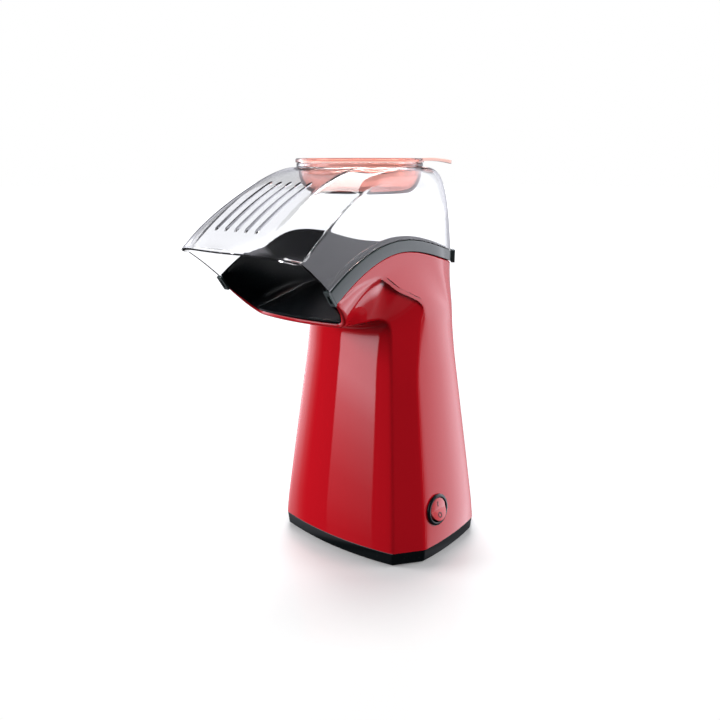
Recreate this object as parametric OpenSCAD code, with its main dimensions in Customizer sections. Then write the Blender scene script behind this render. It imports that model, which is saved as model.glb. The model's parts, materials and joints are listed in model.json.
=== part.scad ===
// Hot-air popcorn maker: tall tapered body, forward spout, clear hood, measuring cup.
// Front is -Y, the switch is on the +X side, +Z is up. All lengths in millimetres.

/* [Body] */
// Width of the body at the floor, across the bowed sides
base_w = 142.2; // [134:0.2:150]
// Depth of the body at the floor, across the bowed front and rear
base_d = 120.4; // [114:0.2:128]
// Width of the body at its waist
waist_w = 98.4; // [94:0.2:104]
// Depth of the body at its waist
waist_d = 83.4; // [81:0.2:88]
// Outward bow of the front and rear faces at the floor
front_bow = 6.2; // [4:0.2:8]
// Outward bow of the side faces at the floor
side_bow = 2.4; // [1:0.2:4]
// Corner chamfer along X at the floor
chamfer_x = 15; // [11:0.5:19]
// Corner chamfer along Y at the floor
chamfer_y = 20.2; // [16:0.2:24]
// Height at which the taper ends and the waist begins
waist_z = 175; // [168:1:180]
// How far the side crease moves back towards the waist
crease_back = 7; // [4:0.5:9]
// Wall of the body shell
wall = 2.5; // [2:0.1:3]
// Height of the spout root above the floor
neck_z = 165; // [158:1:172]

/* [Spout] */
// Distance of the bottom lip in front of the body axis
lip_y = 95.2; // [88:0.2:102]
// Rise of the bottom lip above the spout root
lip_rise = 18.8; // [16:0.2:22]
// Half width of the bottom lip, up to its rounded corners
lip_half = 34.2; // [31:0.2:37]
// How far the lip's ends lie behind its middle
lip_bow = 3.6; // [2:0.2:5]
// Height of the mouth's sloping sides, from the lip to the band
mouth_h = 19.2; // [17:0.2:21]
// Forward lean of the mouth for each millimetre of height
mouth_lean = 0.7; // [0.6:0.02:0.9]
// Distance of the eave's highest point in front of the body axis
eave_y = 59; // [54:1:64]
// Height of the eave's highest point above the spout root
eave_rise = 46.5; // [43:0.5:49]

/* [Head] */
// Width of the head across the band
head_w = 100; // [98:0.5:104]
// Distance of the head's rear behind the body axis
head_rear = 45.5; // [44:0.5:48]
// Rise of the band's arch above the mouth's corners
arch_rise = 25.4; // [22:0.2:28]
// Fall of the band's arch from its crest to the rear
arch_fall = 14.4; // [11:0.2:17]
// Distance of the arch's crest in front of the body axis
arch_y = 42; // [36:1:48]
// Height of the trim band at its crest and rear
band_h = 7.9; // [6.5:0.1:9.5]
// Extra height of the trim band at the mouth
band_grow = 2.5; // [1:0.1:3.5]
// How far the band stands proud of the body
band_proud = 0.6; // [0.3:0.1:1]

/* [Hood] */
// Height of the hood's top above the arch's crest
hood_h = 54.6; // [50:0.2:58]
// Reach of the hood's front edge in front of the body axis
hood_reach = 158.2; // [150:0.2:164]
// Depth of the front edge's bow in plan
hood_bow = 19.2; // [16:0.1:24]
// How much wider the hood is at its front corners than the head, on each side
hood_flare = 1.2; // [0:0.1:2]
// Drop from the hood's top to the middle of its front edge
hood_drop = 47; // [44:0.2:52]
// Wall of the clear hood
hood_wall = 2; // [1.6:0.1:2.4]
// Number of vent slots in the hood
slot_count = 5; // [3:2:7]
// Distance between the vent slots
slot_pitch = 8.8; // [7:0.1:9.5]
// Width of each vent slot
slot_w = 2.4; // [1.8:0.1:3]
// Length of each vent slot
slot_len = 48; // [40:1:52]
// Distance of the front ends of the slots behind the front edge
slot_setback = 16; // [13:0.1:18]
// Fall of the front edge from its middle to its corners
edge_fall = 5.4; // [4:0.2:8]

/* [Measuring cup] */
// Distance of the cup's axis in front of the body axis
cup_y = 25.8; // [23:0.2:28]
// Radius of the opening in the hood
cup_r = 43.3; // [41:0.1:44]
// Depth of the cup below its rim
cup_depth = 23.4; // [20:0.2:25]
// Radius of the cup's flat bottom
cup_floor_r = 32; // [28:0.5:35]
// Width of the rim that rests on the hood
rim_lap = 1.5; // [1.2:0.1:2.5]
// Length of the thumb tab beyond the rim
tab_len = 20; // [16:1:24]
// Direction of the thumb tab, turned from +X towards the rear
tab_turn = 39; // [0:1:90]

/* [Switch] */
// Height of the switch above the floor
switch_z = 38; // [34:1:44]
// Distance of the switch in front of the body axis
switch_y = 17.6; // [14:0.2:22]
// Outside diameter of the switch bezel
bezel_d = 23.5; // [22:0.5:25]
// Diameter of the hole for the switch
switch_hole_d = 20.2; // [19:0.1:21]
// Angle through which the rocker tips
rocker_tip = 18; // [12:1:20]

/* [Inside] */
// Air gap round the popping chamber
air_gap = 2.5; // [2:0.1:3]
// Depth of the popping chamber
chamber_depth = 67; // [60:1:70]
// Number of slanted louvres in the popping chamber
louvre_count = 16; // [10:2:20]
// Height of the heater
heater_h = 15; // [12:1:18]
// Height of the fan duct
duct_h = 38; // [34:1:42]
// Diameter of the motor
motor_d = 36; // [32:1:40]
// Length of the motor
motor_len = 44; // [38:1:48]
// Number of fan blades
blade_count = 8; // [6:1:12]
// Radius of the fan
fan_r = 34; // [30:1:36]

/* [Base] */
// Height of the base strip that shows
strip_h = 11.8; // [9:0.2:13]
// Inward lean of the base strip towards the floor
strip_inset = 2.4; // [2:0.2:5]
// Height of the rubber feet below the base
foot_h = 0.8; // [0.5:0.1:2.5]
// Radius of the rubber feet
foot_r = 7; // [5:0.5:9]
// Thickness of the base floor
base_floor = 2.5; // [2:0.1:3]

/* [Hidden] */

// Gap between seated pieces that do not touch face to face
seat = 0.3;
// Radial clearance of a shaft in its bearing
run = 0.05;
$fn = 64;

// ---- sections of the tapered body --------------------------------------------------------
soft_k = 8;
skirt_z = 12;
function soft(t) = soft_k * ln(1 + exp(t / soft_k));
function smooth(t) = let (c = min(1, max(0, t))) c * c * (3 - 2 * c);
function lerp(a, b, u) = a + (b - a) * u;
function fall(z) = (soft(waist_z - z) - soft(skirt_z - z)) / (soft(waist_z) - soft(skirt_z));
function taper(z, waist, base) = waist / base + (1 - waist / base) * fall(z);

front_x = base_w / 2 - side_bow - chamfer_x;
side_y = base_d / 2 - front_bow - chamfer_y;
// Steps along half a section: front face, chamfer, side, rear chamfer, rear face
n_front = 6;
n_cham = 4;
n_side = 10;
n_rcham = 3;
n_rear = 4;
k_front = n_front;
k_side = k_front + n_cham;
k_rcham = k_side + n_side;
k_rear = k_rcham + n_rcham;
k_end = k_rear + n_rear;

function side_x(y, sx, sy) = (base_w / 2 - side_bow * pow(y / (side_y * sy), 2)) * sx;
// Point k of half a section at height z, from the front centre to the rear centre
function section_pt(k, z) =
    let (
        sx = taper(z, waist_w, base_w),
        sy = taper(z, waist_d, base_d),
        yf = side_y * sy - crease_back * smooth((z - neck_z + 35) / 60),
        yr = side_y * sy,
        y_face = (base_d / 2 - front_bow) * sy
    )
    k <= k_front ? let (t = k / n_front) [front_x * sx * t, -(base_d / 2 - front_bow * t * t) * sy, z]
    : k <= k_side ? let (t = (k - k_front) / n_cham)
        [lerp(front_x * sx, side_x(yf, sx, sy), t), lerp(-y_face, -yf, t), z]
    : k <= k_rcham ? let (t = (k - k_side) / n_side, y = lerp(-yf, yr, t)) [side_x(y, sx, sy), y, z]
    : k <= k_rear ? let (t = (k - k_rcham) / n_rcham)
        [lerp(side_x(yr, sx, sy), front_x * sx, t), lerp(yr, y_face, t), z]
    : let (t = (k_end - k) / n_rear) [front_x * sx * t, (base_d / 2 - front_bow * t * t) * sy, z];

// ---- head: arch, plan and mouth ----------------------------------------------------------
head_half = head_w / 2;
head_y0 = -5;
head_power = 2.6;
lip_z = neck_z + lip_rise;
mouth_z = lip_z + mouth_h;
mouth_y = -lip_y - mouth_lean * mouth_h;
arch_top = mouth_z + arch_rise;
function front_part(y) = max(0, (-arch_y - y) / (-arch_y - mouth_y));
function arch(y) =
    y < -arch_y ? arch_top - arch_rise * pow(front_part(y), 1.9)
    : arch_top - arch_fall * (1 - cos(180 * min(1, (y + arch_y) / (head_rear + arch_y)))) / 2;
function arch_slope(y) = y < -arch_y ? atan((arch(y + 0.5) - arch(y - 0.5))) : 0;
// Point at height h above the arch, measured square to it in front of the crest
function above(x, y, h) = [x, y - h * sin(arch_slope(y)), arch(y) + h * cos(arch_slope(y))];
function band_height(y) = band_h + band_grow * front_part(y);
// Plan of the head: straight sides, then a squarish rear; q runs 0 to 1 from mouth to rear
plan_split = 0.575;
function plan_angle(q) = max(0, (q - plan_split) / (1 - plan_split)) * 90;
function plan(q, off = 0) =
    q < plan_split ? [head_half + off, lerp(mouth_y, head_y0, q / plan_split)]
    : let (a = plan_angle(q)) [
        (head_half + off) * pow(abs(cos(a)), 2 / head_power),
        head_y0 + (head_rear - head_y0 + off) * pow(sin(a), 2 / head_power)
    ];
function rim_rear(q, off = 0) = let (p = plan(q, off)) [p[0], p[1], arch(plan(q)[1])];
// The mouth's corner, where lip, band and hood meet
corner_x = head_half - 0.7;
// Forward lean of the mouth's edge, which the lip's bow makes steeper
rim_lean = mouth_lean + lip_bow * pow(corner_x / lip_half, 2) / mouth_h;
function lip_pt(x, z) = [x, lip_bow * pow(x / lip_half, 2) - lip_y - rim_lean * (z - lip_z), z];
// The mouth's side is a quarter of an ellipse: a runs from 0 at the lip to 90 at the corner
corner_a = 52;
function corner(a, off = 0) =
    let (p = lip_pt(lip_half + (corner_x - lip_half) * sin(a), mouth_z - (mouth_h - off) * cos(a)))
    [p[0] - off * sin(a), p[1], p[2]];
n_jamb = 2;
k_mouth = k_side + n_jamb;
q_side = 0.66;
q_corner = 0.82;
// q of half-section point k, for points behind the mouth
function rim_q(k) =
    k <= k_rcham ? q_side * (k - k_mouth) / (k_rcham - k_mouth)
    : k <= k_rear ? lerp(q_side, q_corner, (k - k_rcham) / n_rcham)
    : lerp(q_corner, 1, (k - k_rear) / n_rear);
// Place on the ellipse of half-section point k
function corner_at(k) = k <= k_side ? corner_a * (k - k_front) / n_cham
    : lerp(corner_a, 90, (k - k_side) / n_jamb);
function rim_pt(k) =
    k <= k_front ? lip_pt(lip_half * k / n_front, lip_z)
    : k <= k_mouth ? corner(corner_at(k))
    : rim_rear(rim_q(k));

// ---- guides of the upper body ------------------------------------------------------------
function bezier(a, b, c, d, t) =
    a * pow(1 - t, 3) + b * 3 * t * pow(1 - t, 2) + c * 3 * t * t * (1 - t) + d * pow(t, 3);
// Smooth curve through a list of points, t from 0 to 1
function through(p, t) =
    let (
        n = len(p) - 1,
        s = min(n - 0.000001, max(0, t * n)),
        i = floor(s),
        f = s - i,
        p1 = p[i],
        p2 = p[i + 1],
        p0 = i > 0 ? p[i - 1] : 2 * p1 - p2,
        p3 = i + 2 <= n ? p[i + 2] : 2 * p2 - p1
    )
    0.5 * (2 * p1 + (p2 - p0) * f + (2 * p0 - 5 * p1 + 4 * p2 - p3) * f * f
        + (3 * p1 - p0 - 3 * p2 + p3) * pow(f, 3));
function neck_pt(k) = section_pt(k, neck_z);
function part_way(a, b, ty, tz) = [lerp(a[0], b[0], ty), lerp(a[1], b[1], ty), lerp(a[2], b[2], tz)];
// Belly: up the front face, then forward under the spout
function guide_front(t) = let (a = neck_pt(0), r = rim_pt(0))
    bezier(a, a + [0, 1, 13], part_way(a, r, 0.17, 0.52), r, t);
function guide_crease(t) = let (a = neck_pt(k_front), r = rim_pt(k_front))
    bezier(a, a + [-0.4, 1.2, 25], part_way(a, r, 0.3, 0.84), r, t);
// Eave: up the side crease, forward over the trough, down to the mouth's corner
function guide_eave(t) =
    let (
        a = neck_pt(k_side),
        r = rim_pt(k_side),
        e = [head_half - 3.5, -eave_y, neck_z + eave_rise]
    )
    through([
        a,
        a + [-0.2, 1.2, 0.32 * eave_rise],
        a + [-0.2, -1.3, 0.58 * eave_rise],
        part_way(a, e, 0.34, 0.716),
        part_way(a, e, 0.618, 0.813),
        part_way(a, e, 0.873, 0.963),
        e,
        part_way(e, r, 0.32, 0.17),
        part_way(e, r, 0.642, 0.5),
        r
    ], t);
function guide_up(k, t) = let (a = neck_pt(k), r = rim_pt(k), d = r - a)
    bezier(a, a + [0, 0, 0.45 * d[2]], r - [0.12 * d[0], 0.12 * d[1], 0.42 * d[2]], r, t);
function guide(k, t) =
    k == 0 ? guide_front(t) : k == k_front ? guide_crease(t) : k == k_side ? guide_eave(t) : guide_up(k, t);
function mix(a, b, u, w) = [lerp(a[0], b[0], u), lerp(a[1], b[1], w), lerp(a[2], b[2], w)];
// Surface between the guides ka and kb, which also meets the neck and the rim
function between(ka, kb, k, t, power) =
    let (u = (k - ka) / (kb - ka), w = pow(u, power))
    mix(guide(ka, t), guide(kb, t), u, w)
    + (neck_pt(k) - mix(neck_pt(ka), neck_pt(kb), u, w)) * (1 - t)
    + (rim_pt(k) - mix(rim_pt(ka), rim_pt(kb), u, w)) * t;
function upper_pt(k, t) =
    k <= k_front ? between(0, k_front, k, t, 2.2)
    : k <= k_side ? between(k_front, k_side, k, t, 1)
    : k <= k_rcham ? between(k_side, k_rcham, k, t, 1)
    : k <= k_rear ? between(k_rcham, k_rear, k, t, 1)
    : between(k_rear, k_end, k, t, 1);

// ---- closed shells from grids of points --------------------------------------------------
function mirrored_pt(p) = [-p[0], p[1], p[2]];
// Whole loop from a half row: points 0..n, then the mirrored ones back to the front
function loop(half) = let (n = len(half) - 1)
    [for (c = [0 : 2 * n - 1]) c <= n ? half[c] : mirrored_pt(half[2 * n - c])];
function unit(v) = v / norm(v);
// Outward normal of the grid at row r, column c
function grid_normal(g, r, c) =
    let (
        m = len(g[0]),
        du = g[r][(c + 1) % m] - g[r][(c + m - 1) % m],
        dv = g[min(len(g) - 1, r + 1)][c] - g[max(0, r - 1)][c]
    )
    unit(cross(du, dv));
// The grid moved by d along its normals; its first row moves level when flat is true
function moved(g, d, flat = true) = [for (r = [0 : len(g) - 1]) [for (c = [0 : len(g[0]) - 1])
    let (n = grid_normal(g, r, c))
    g[r][c] + d * (flat && r == 0 ? unit([n[0], n[1], 0]) : n)]];
function ring_faces(a, b, m) = [for (c = [0 : m - 1]) each [
    [a + c, b + c, b + (c + 1) % m],
    [a + c, b + (c + 1) % m, a + (c + 1) % m]
]];
// Solid between an outer and an inner grid that have the same rows and columns
module shell(outer, inner) {
    m = len(outer[0]);
    n = len(outer);
    points = concat([for (r = outer) each r], [for (r = inner) each r]);
    faces = concat(
        [for (r = [0 : n - 2]) each ring_faces(r * m, (r + 1) * m, m)],
        [for (r = [0 : n - 2]) each ring_faces((n + r + 1) * m, (n + r) * m, m)],
        ring_faces((n - 1) * m, (2 * n - 1) * m, m),
        ring_faces(n * m, 0, m)
    );
    polyhedron(points, faces, convexity = 8);
}

// The whole part is centred on its own outline in plan
inlet_z = 24;
inlet_r = 5.5;
inlet_flange = 2.3;
function rear_at(z) = base_d / 2 * taper(z, waist_d, base_d);
inlet_lean = atan((rear_at(inlet_z - 1) - rear_at(inlet_z + 1)) / 2);
rear_reach = rear_at(inlet_z) + inlet_flange * cos(inlet_lean) + (inlet_r + 2) * sin(inlet_lean);
centre_shift = (hood_reach - rear_reach) / 2;
module place() translate([0, centre_shift, 0]) children();

// ---- housing -----------------------------------------------------------------------------
rows_tower = 7;
rows_upper = 9;
function body_row(r) = r <= rows_tower
    ? [for (k = [0 : k_end]) section_pt(k, lerp(strip_h, neck_z, r / rows_tower))]
    : [for (k = [0 : k_end]) upper_pt(k, (r - rows_tower) / rows_upper)];
body_grid = [for (r = [0 : rows_tower + rows_upper]) loop(body_row(r))];

// Screw bosses stand inside the four chamfered corners
cham_dir = unit([side_x(side_y, 1, 1) - front_x, base_d / 2 - front_bow - side_y]);
cham_normal = [cham_dir[1], cham_dir[0]];
// Distance of the chamfer's face from the axis at height z
function cham_reach(z) = let (
        sx = taper(z, waist_w, base_w),
        sy = taper(z, waist_d, base_d)
    )
    cham_normal * [front_x * sx, (base_d / 2 - front_bow) * sy];
boss_r = 4.5;
boss_h = 16;
boss_hole_r = 1.6;
boss_d = cham_reach(foot_h) - strip_inset - wall - boss_r;
cham_mid = [(front_x + base_w / 2 - side_bow) / 2, (base_d / 2 - front_bow + side_y) / 2];
boss_xy = cham_mid + (boss_d - cham_normal * cham_mid) * cham_normal;
module corners() for (mx = [0, 1], my = [0, 1]) mirror([mx, 0, 0]) mirror([0, my, 0]) children();

// Outward directions of the side face at the switch and of the rear face at the cord inlet
function side_at(y, z) = side_x(y, taper(z, waist_w, base_w), taper(z, waist_d, base_d));
switch_x = side_at(-switch_y, switch_z);
switch_lean = atan((side_at(-switch_y, switch_z - 1) - side_at(-switch_y, switch_z + 1)) / 2);
switch_turn = -atan((side_at(-switch_y + 1, switch_z) - side_at(-switch_y - 1, switch_z)) / 2);
module at_switch() translate([switch_x, -switch_y, switch_z])
    rotate([0, 0, switch_turn]) rotate([0, -switch_lean, 0]) children();
module at_inlet() translate([0, rear_at(inlet_z), inlet_z]) rotate([inlet_lean, 0, 0]) children();

module housing() color("crimson") place() difference() {
    union() {
        shell(body_grid, moved(body_grid, -wall));
        corners() {
            translate([boss_xy[0], boss_xy[1], strip_h]) cylinder(h = boss_h, r = boss_r);
            translate([boss_xy[0], boss_xy[1], strip_h])
                rotate([0, 0, atan2(cham_normal[1], cham_normal[0])])
                translate([0, -1.5, 0]) cube([cham_reach(strip_h + boss_h) - boss_d - 1, 3, boss_h]);
        }
    }
    corners() translate([boss_xy[0], boss_xy[1], strip_h - 1]) cylinder(h = boss_h, r = boss_hole_r);
    at_switch() rotate([0, 90, 0]) cylinder(h = 20, d = switch_hole_d, center = true);
    at_inlet() rotate([90, 0, 0]) cylinder(h = 14, r = inlet_r, center = true);
}

// ---- trim band ---------------------------------------------------------------------------
// Solid swept through rings that each hold the same number of points
module loft(rings) {
    m = len(rings[0]);
    n = len(rings);
    polyhedron(
        [for (r = rings) each r],
        concat(
            [for (r = [0 : n - 2]) each ring_faces(r * m, (r + 1) * m, m)],
            [for (c = [1 : m - 2]) [0, c, c + 1]],
            [for (c = [1 : m - 2]) [(n - 1) * m, (n - 1) * m + c + 1, (n - 1) * m + c]]
        ),
        convexity = 8
    );
}
// Point of the head's side: q along the plan, off outwards, h above the arch
function head_pt(q, off, h) = let (p = plan(q, off), y = plan(q)[1])
    y < -arch_y ? above(p[0], y, h) : [p[0], p[1], arch(y) + h];
band_steps = 22;
band_edge = 0.8;
function band_ring(q) = let (y = plan(q)[1], h = band_height(y), low = seat * (1 + front_part(y))) [
    head_pt(q, -wall, low),
    head_pt(q, -wall, h),
    head_pt(q, band_proud - band_edge, h),
    head_pt(q, band_proud, h - band_edge),
    head_pt(q, band_proud, low)
];
function mirrored(ring) = [for (p = ring) mirrored_pt(p)];
function both_sides(half) = let (n = len(half) - 1) concat(
    half,
    [for (i = [1 : n]) mirrored(half[n - i])]
);
module trim_band() color("dimgray") place()
    loft(both_sides([for (i = [0 : band_steps]) band_ring(i / band_steps)]));

// ---- chute -------------------------------------------------------------------------------
chute_wall = 2;
chute_off = wall + seat;
// Rise of the chamber's collar above the lip
collar_rise = 12.2;
// How far the chute stands up inside the hood
chute_up = 2.5;
chamber_top = lip_z + collar_rise;
plate_t = 2.5;
// Radial gap between the heat shield and the body's wall
shield_gap = 0.7;
duct_r = waist_d / 2 - wall - shield_gap;
collar_r = duct_r - 2;
n_chute = k_end + 1;
rows_chute = 7;
function chute_rim(k) =
    k <= k_front ? lip_pt(lip_half * k / n_front, lip_z + chute_off)
    : k <= k_mouth ? corner(corner_at(k), chute_off)
    : let (q = k == k_mouth + 1 ? 0 : rim_q(k - 1))
        head_pt(q, -chute_off - seat, band_height(plan(q)[1]) + chute_up);
function collar_pt(k) = let (a = -90 + 180 * k / n_chute)
    [collar_r * cos(a), collar_r * sin(a), chamber_top + plate_t + seat / 3];
// How much of the fall is upright: none on the floor, most at the sides
function upright(k) = smooth((k - k_front) / (k_mouth - k_front));
// Inward bulge of the cheeks, which keeps them clear of the housing's wall
cheek_in = 2.4;
function cheek(k) = upright(k) * (1 - smooth((k - k_mouth - 3) / 4));
function chute_pt(k, t) =
    let (a = chute_rim(k), b = collar_pt(k), d = b - a, s = upright(k))
    [-cheek_in * cheek(k) * sin(180 * t), 0, 0] + bezier(
        a,
        a + [lerp(0.33, 0.12, s) * d[0], lerp(0.33, 0.12, s) * d[1], lerp(0.4, 0.5, s) * d[2]],
        b - [lerp(0.33, 0.5, s) * d[0], lerp(0.33, 0.5, s) * d[1], lerp(0.05, 0.12, s) * d[2]],
        b,
        t
    );
chute_grid = [for (r = [0 : rows_chute]) loop([for (k = [0 : n_chute]) chute_pt(k, 1 - r / rows_chute)])];
// Screw ears beside the shield; where the side wall comes near, they move round the shield
ear_r = 4;
ear_out = 2.6;
ear_spread = 12;
ear_gap = 1.6;
ear_reach = norm([duct_r + ear_out, ear_spread]);
ear_x = min(duct_r + ear_out, waist_w / 2 - wall - ear_gap - ear_r);
ear_y = sqrt(pow(ear_reach, 2) - pow(ear_x, 2));
ear_hole_r = 1.3;
module flange_2d(r) {
    circle(r = r);
    for (sx = [-1, 1], sy = [-1, 1]) translate([sx * ear_x, sy * ear_y]) circle(r = ear_r);
    square([2 * ear_x, 2 * ear_y + ear_r], center = true);
    square([2 * (ear_x + ear_r - 0.4), 2 * ear_y], center = true);
}
module at_ears() for (sx = [-1, 1], sy = [-1, 1]) translate([sx * ear_x, sy * ear_y, 0]) children();
module chute() color([0.1, 0.12, 0.12]) place() shell(chute_grid, moved(chute_grid, -chute_wall));
// Plate that carries the chute and the chamber, with screw ears on both sides
module collar_plate() color([0.1, 0.12, 0.12]) place() difference() {
    translate([0, 0, chamber_top]) linear_extrude(plate_t) difference() {
        flange_2d(collar_r - 0.2);
        circle(r = collar_r - chute_wall);
    }
    at_ears() translate([0, 0, chamber_top - 1]) cylinder(h = plate_t + 2, r = ear_hole_r - 0.2);
}

// ---- catches -----------------------------------------------------------------------------
catch_t = 1.6;
catch_w = 4.4;
mouth_tilt = atan(mouth_lean);
module front_catches() color([0.22, 0.25, 0.25]) place()
    for (side = [0, 1]) mirror([side, 0, 0])
        translate([head_half + band_proud - catch_w, mouth_y, arch(mouth_y)])
        rotate([mouth_tilt, 0, 0])
        translate([0, -catch_t - seat, seat]) difference() {
            cube([catch_w, catch_t, band_height(mouth_y) + 0.8]);
            translate([1.3, -1, 2]) cube([catch_w - 2.4, catch_t + 2, band_height(mouth_y) - 4]);
        }

rear_catch_w = 10;
rear_catch_t = 2.4;
rear_catch_edge = 1.6;
rear_catch_floor = 1;
rear_catch_up = 1.4;
rear_catch_in = band_h + rear_catch_up - 2 * rear_catch_edge;
rear_catch_a = 42;
rear_catch_turn = 39;
module rear_catches() color([0.22, 0.25, 0.25]) place()
    for (side = [0, 1]) mirror([side, 0, 0])
        let (p = plan(lerp(plan_split, 1, rear_catch_a / 90), band_proud + seat))
        translate([p[0], p[1], arch(p[1]) - 0.6]) rotate([0, 0, rear_catch_turn])
        difference() {
            translate([0, -rear_catch_w / 2, 0])
                cube([rear_catch_t, rear_catch_w, band_h + rear_catch_up]);
            translate([rear_catch_floor, rear_catch_edge - rear_catch_w / 2, rear_catch_edge])
                cube([rear_catch_t, rear_catch_w - 2 * rear_catch_edge, rear_catch_in]);
        }

// ---- clear hood --------------------------------------------------------------------------
hood_top = arch_top + hood_h;
edge_z = hood_top - hood_drop;
edge_corner_y = hood_bow - hood_reach;
panel_half = 30;
// Steps along half the hood: front edge, sloping side edge, band, rear
n_edge = 9;
n_slope = 5;
n_hood = 30;
k_slope = n_edge + n_slope;
n_wall_rows = 4;
n_top_rows = 8;
front_top = head_pt(0, 0, band_height(mouth_y) + seat);
function centre_z(y) = let (flat_y = -cup_y - cup_r + 7)
    y > flat_y ? hood_top
    : hood_top - hood_drop * pow((flat_y - y) / (hood_reach + flat_y), 1.52);
crease_y = -37;
crease_drop = hood_top - edge_z + edge_fall;
function crease_z(y) = y > crease_y ? hood_top
    : hood_top - crease_drop * pow((crease_y - y) / (crease_y - edge_corner_y), 1.68);
// Height of the hood's top at x, y: a flat middle panel and falling shoulders
function hood_z(x, y) =
    let (
        zc = centre_z(y),
        t = max(0, (abs(x) - panel_half) / (head_half - panel_half)),
        bend = 1.15 + 0.7 * smooth((-95 - y) / 45)
    )
    zc - (zc - crease_z(y)) * pow(t, bend);
// The flare grows forwards from the crease's end
function flare(y) = hood_flare * max(0, (crease_y - y) / (crease_y - edge_corner_y));
// Lower edge of the hood
function edge_pt(a) = let (x = (head_half + hood_flare) * sin(a))
    [x, edge_corner_y - hood_bow * cos(a), edge_z - edge_fall * pow(sin(a), 5)];
function hood_q(k) = (k - k_slope) / (n_hood - k_slope);
function hood_low(k) =
    k <= n_edge ? edge_pt(90 * k / n_edge)
    : k < k_slope ? let (t = (k - n_edge) / n_slope)
        lerp(edge_pt(90), front_top, t) + [0, -0.8 * sin(180 * t), 1.2 * sin(180 * t)]
    : let (q = hood_q(k)) head_pt(q, 0, band_height(plan(q)[1]) + 2 * seat);
// Shoulder of the hood, where the side wall meets the top
rear_draft = 11;
function hood_shoulder(k) =
    k <= n_edge ? hood_low(k) + [0, 1.5, 1.6]
    : k <= k_slope ? let (y = lerp(edge_corner_y + 1.5, mouth_y - 12, (k - n_edge) / n_slope))
        [head_half + flare(y), y, crease_z(y)]
    : let (q = hood_q(k), p = plan(q), y0 = lerp(mouth_y - 12, head_y0, min(1, q / plan_split)))
        q < plan_split ? [head_half + flare(y0) - smooth((y0 + 90) / 60), y0, crease_z(y0)]
        : let (a = plan_angle(q)) [
            (head_half - 1) * pow(abs(cos(a)), 2 / head_power),
            head_y0 + (head_rear - rear_draft - head_y0) * pow(sin(a), 2 / head_power),
            hood_top
        ];
opening_r = cup_r + 0.8;
function hood_ring(k) = let (s = hood_shoulder(k), a = atan2(s[1] + cup_y, s[0]))
    [opening_r * cos(a), -cup_y + opening_r * sin(a), hood_top];
// How round the shoulder is: sharp at the front, soft at the rear
function softness(k) = smooth((k - k_slope - 2) / 4);
function hood_pt(k, r) =
    let (
        low = hood_low(k),
        s = hood_shoulder(k),
        c = hood_ring(k),
        u = r <= n_wall_rows ? r / n_wall_rows : 1,
        w = r <= n_wall_rows ? 0 : pow((r - n_wall_rows) / n_top_rows, 1.45),
        tau = 0.5 * u + 0.5 * w,
        flat = r <= n_wall_rows ? lerp(low, s, u) : lerp(s, c, w),
        lift = r <= n_wall_rows ? 0
            : (hood_z(s[0], s[1]) - s[2]) * exp(-w * norm(c - s) / 4),
        sharp = r <= n_wall_rows ? flat
            : r == n_wall_rows + n_top_rows ? c
            : [flat[0], flat[1], hood_z(flat[0], flat[1]) - lift],
        round_pt = low + (s - low) * (1 - pow(1 - tau, 2.4)) + (c - s) * pow(tau, 2.4)
    )
    lerp(sharp, round_pt, softness(k));
hood_grid = [for (r = [0 : n_wall_rows + n_top_rows]) loop([for (k = [0 : n_hood]) hood_pt(k, r)])];
upstand = 2.7;
slot_y = -hood_reach + slot_setback;
module slot_2d() {
    translate([-slot_w / 2, slot_w / 2]) square([slot_w, slot_len - slot_w]);
    translate([0, slot_w / 2]) circle(d = slot_w);
    translate([0, slot_len - slot_w / 2]) circle(d = slot_w);
}
module clear_hood() color([0.85, 0.88, 0.9, 0.4]) place() difference() {
    union() {
        shell(hood_grid, moved(hood_grid, -hood_wall, false));
        translate([0, -cup_y, hood_top - hood_wall]) difference() {
            cylinder(h = hood_wall + upstand, r = opening_r + 0.8);
            translate([0, 0, -1]) cylinder(h = hood_wall + upstand + 2, r = cup_r);
        }
    }
    for (i = [0 : slot_count - 1])
        translate([(i - (slot_count - 1) / 2) * slot_pitch, slot_y, edge_z - 5])
            linear_extrude(hood_drop + 10) slot_2d();
}

// ---- measuring cup -----------------------------------------------------------------------
cup_wall = 1.6;
cup_gap = 0.4;
rim_z = hood_top + upstand + seat;
rim_t = 2.8;
rim_r = cup_r + rim_lap;
bowl_r = cup_r - cup_gap;
cup_low = rim_z + rim_t - cup_depth;
function bowl_curve(r0, r1, z0, z1) = [for (i = [0 : 6]) let (a = 90 * i / 6)
    [r0 + (r1 - r0) * sin(a), z1 - (z1 - z0) * cos(a)]];
tab_w = 22;
tab_end_r = 7;
tab_t = 2.2;
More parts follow.
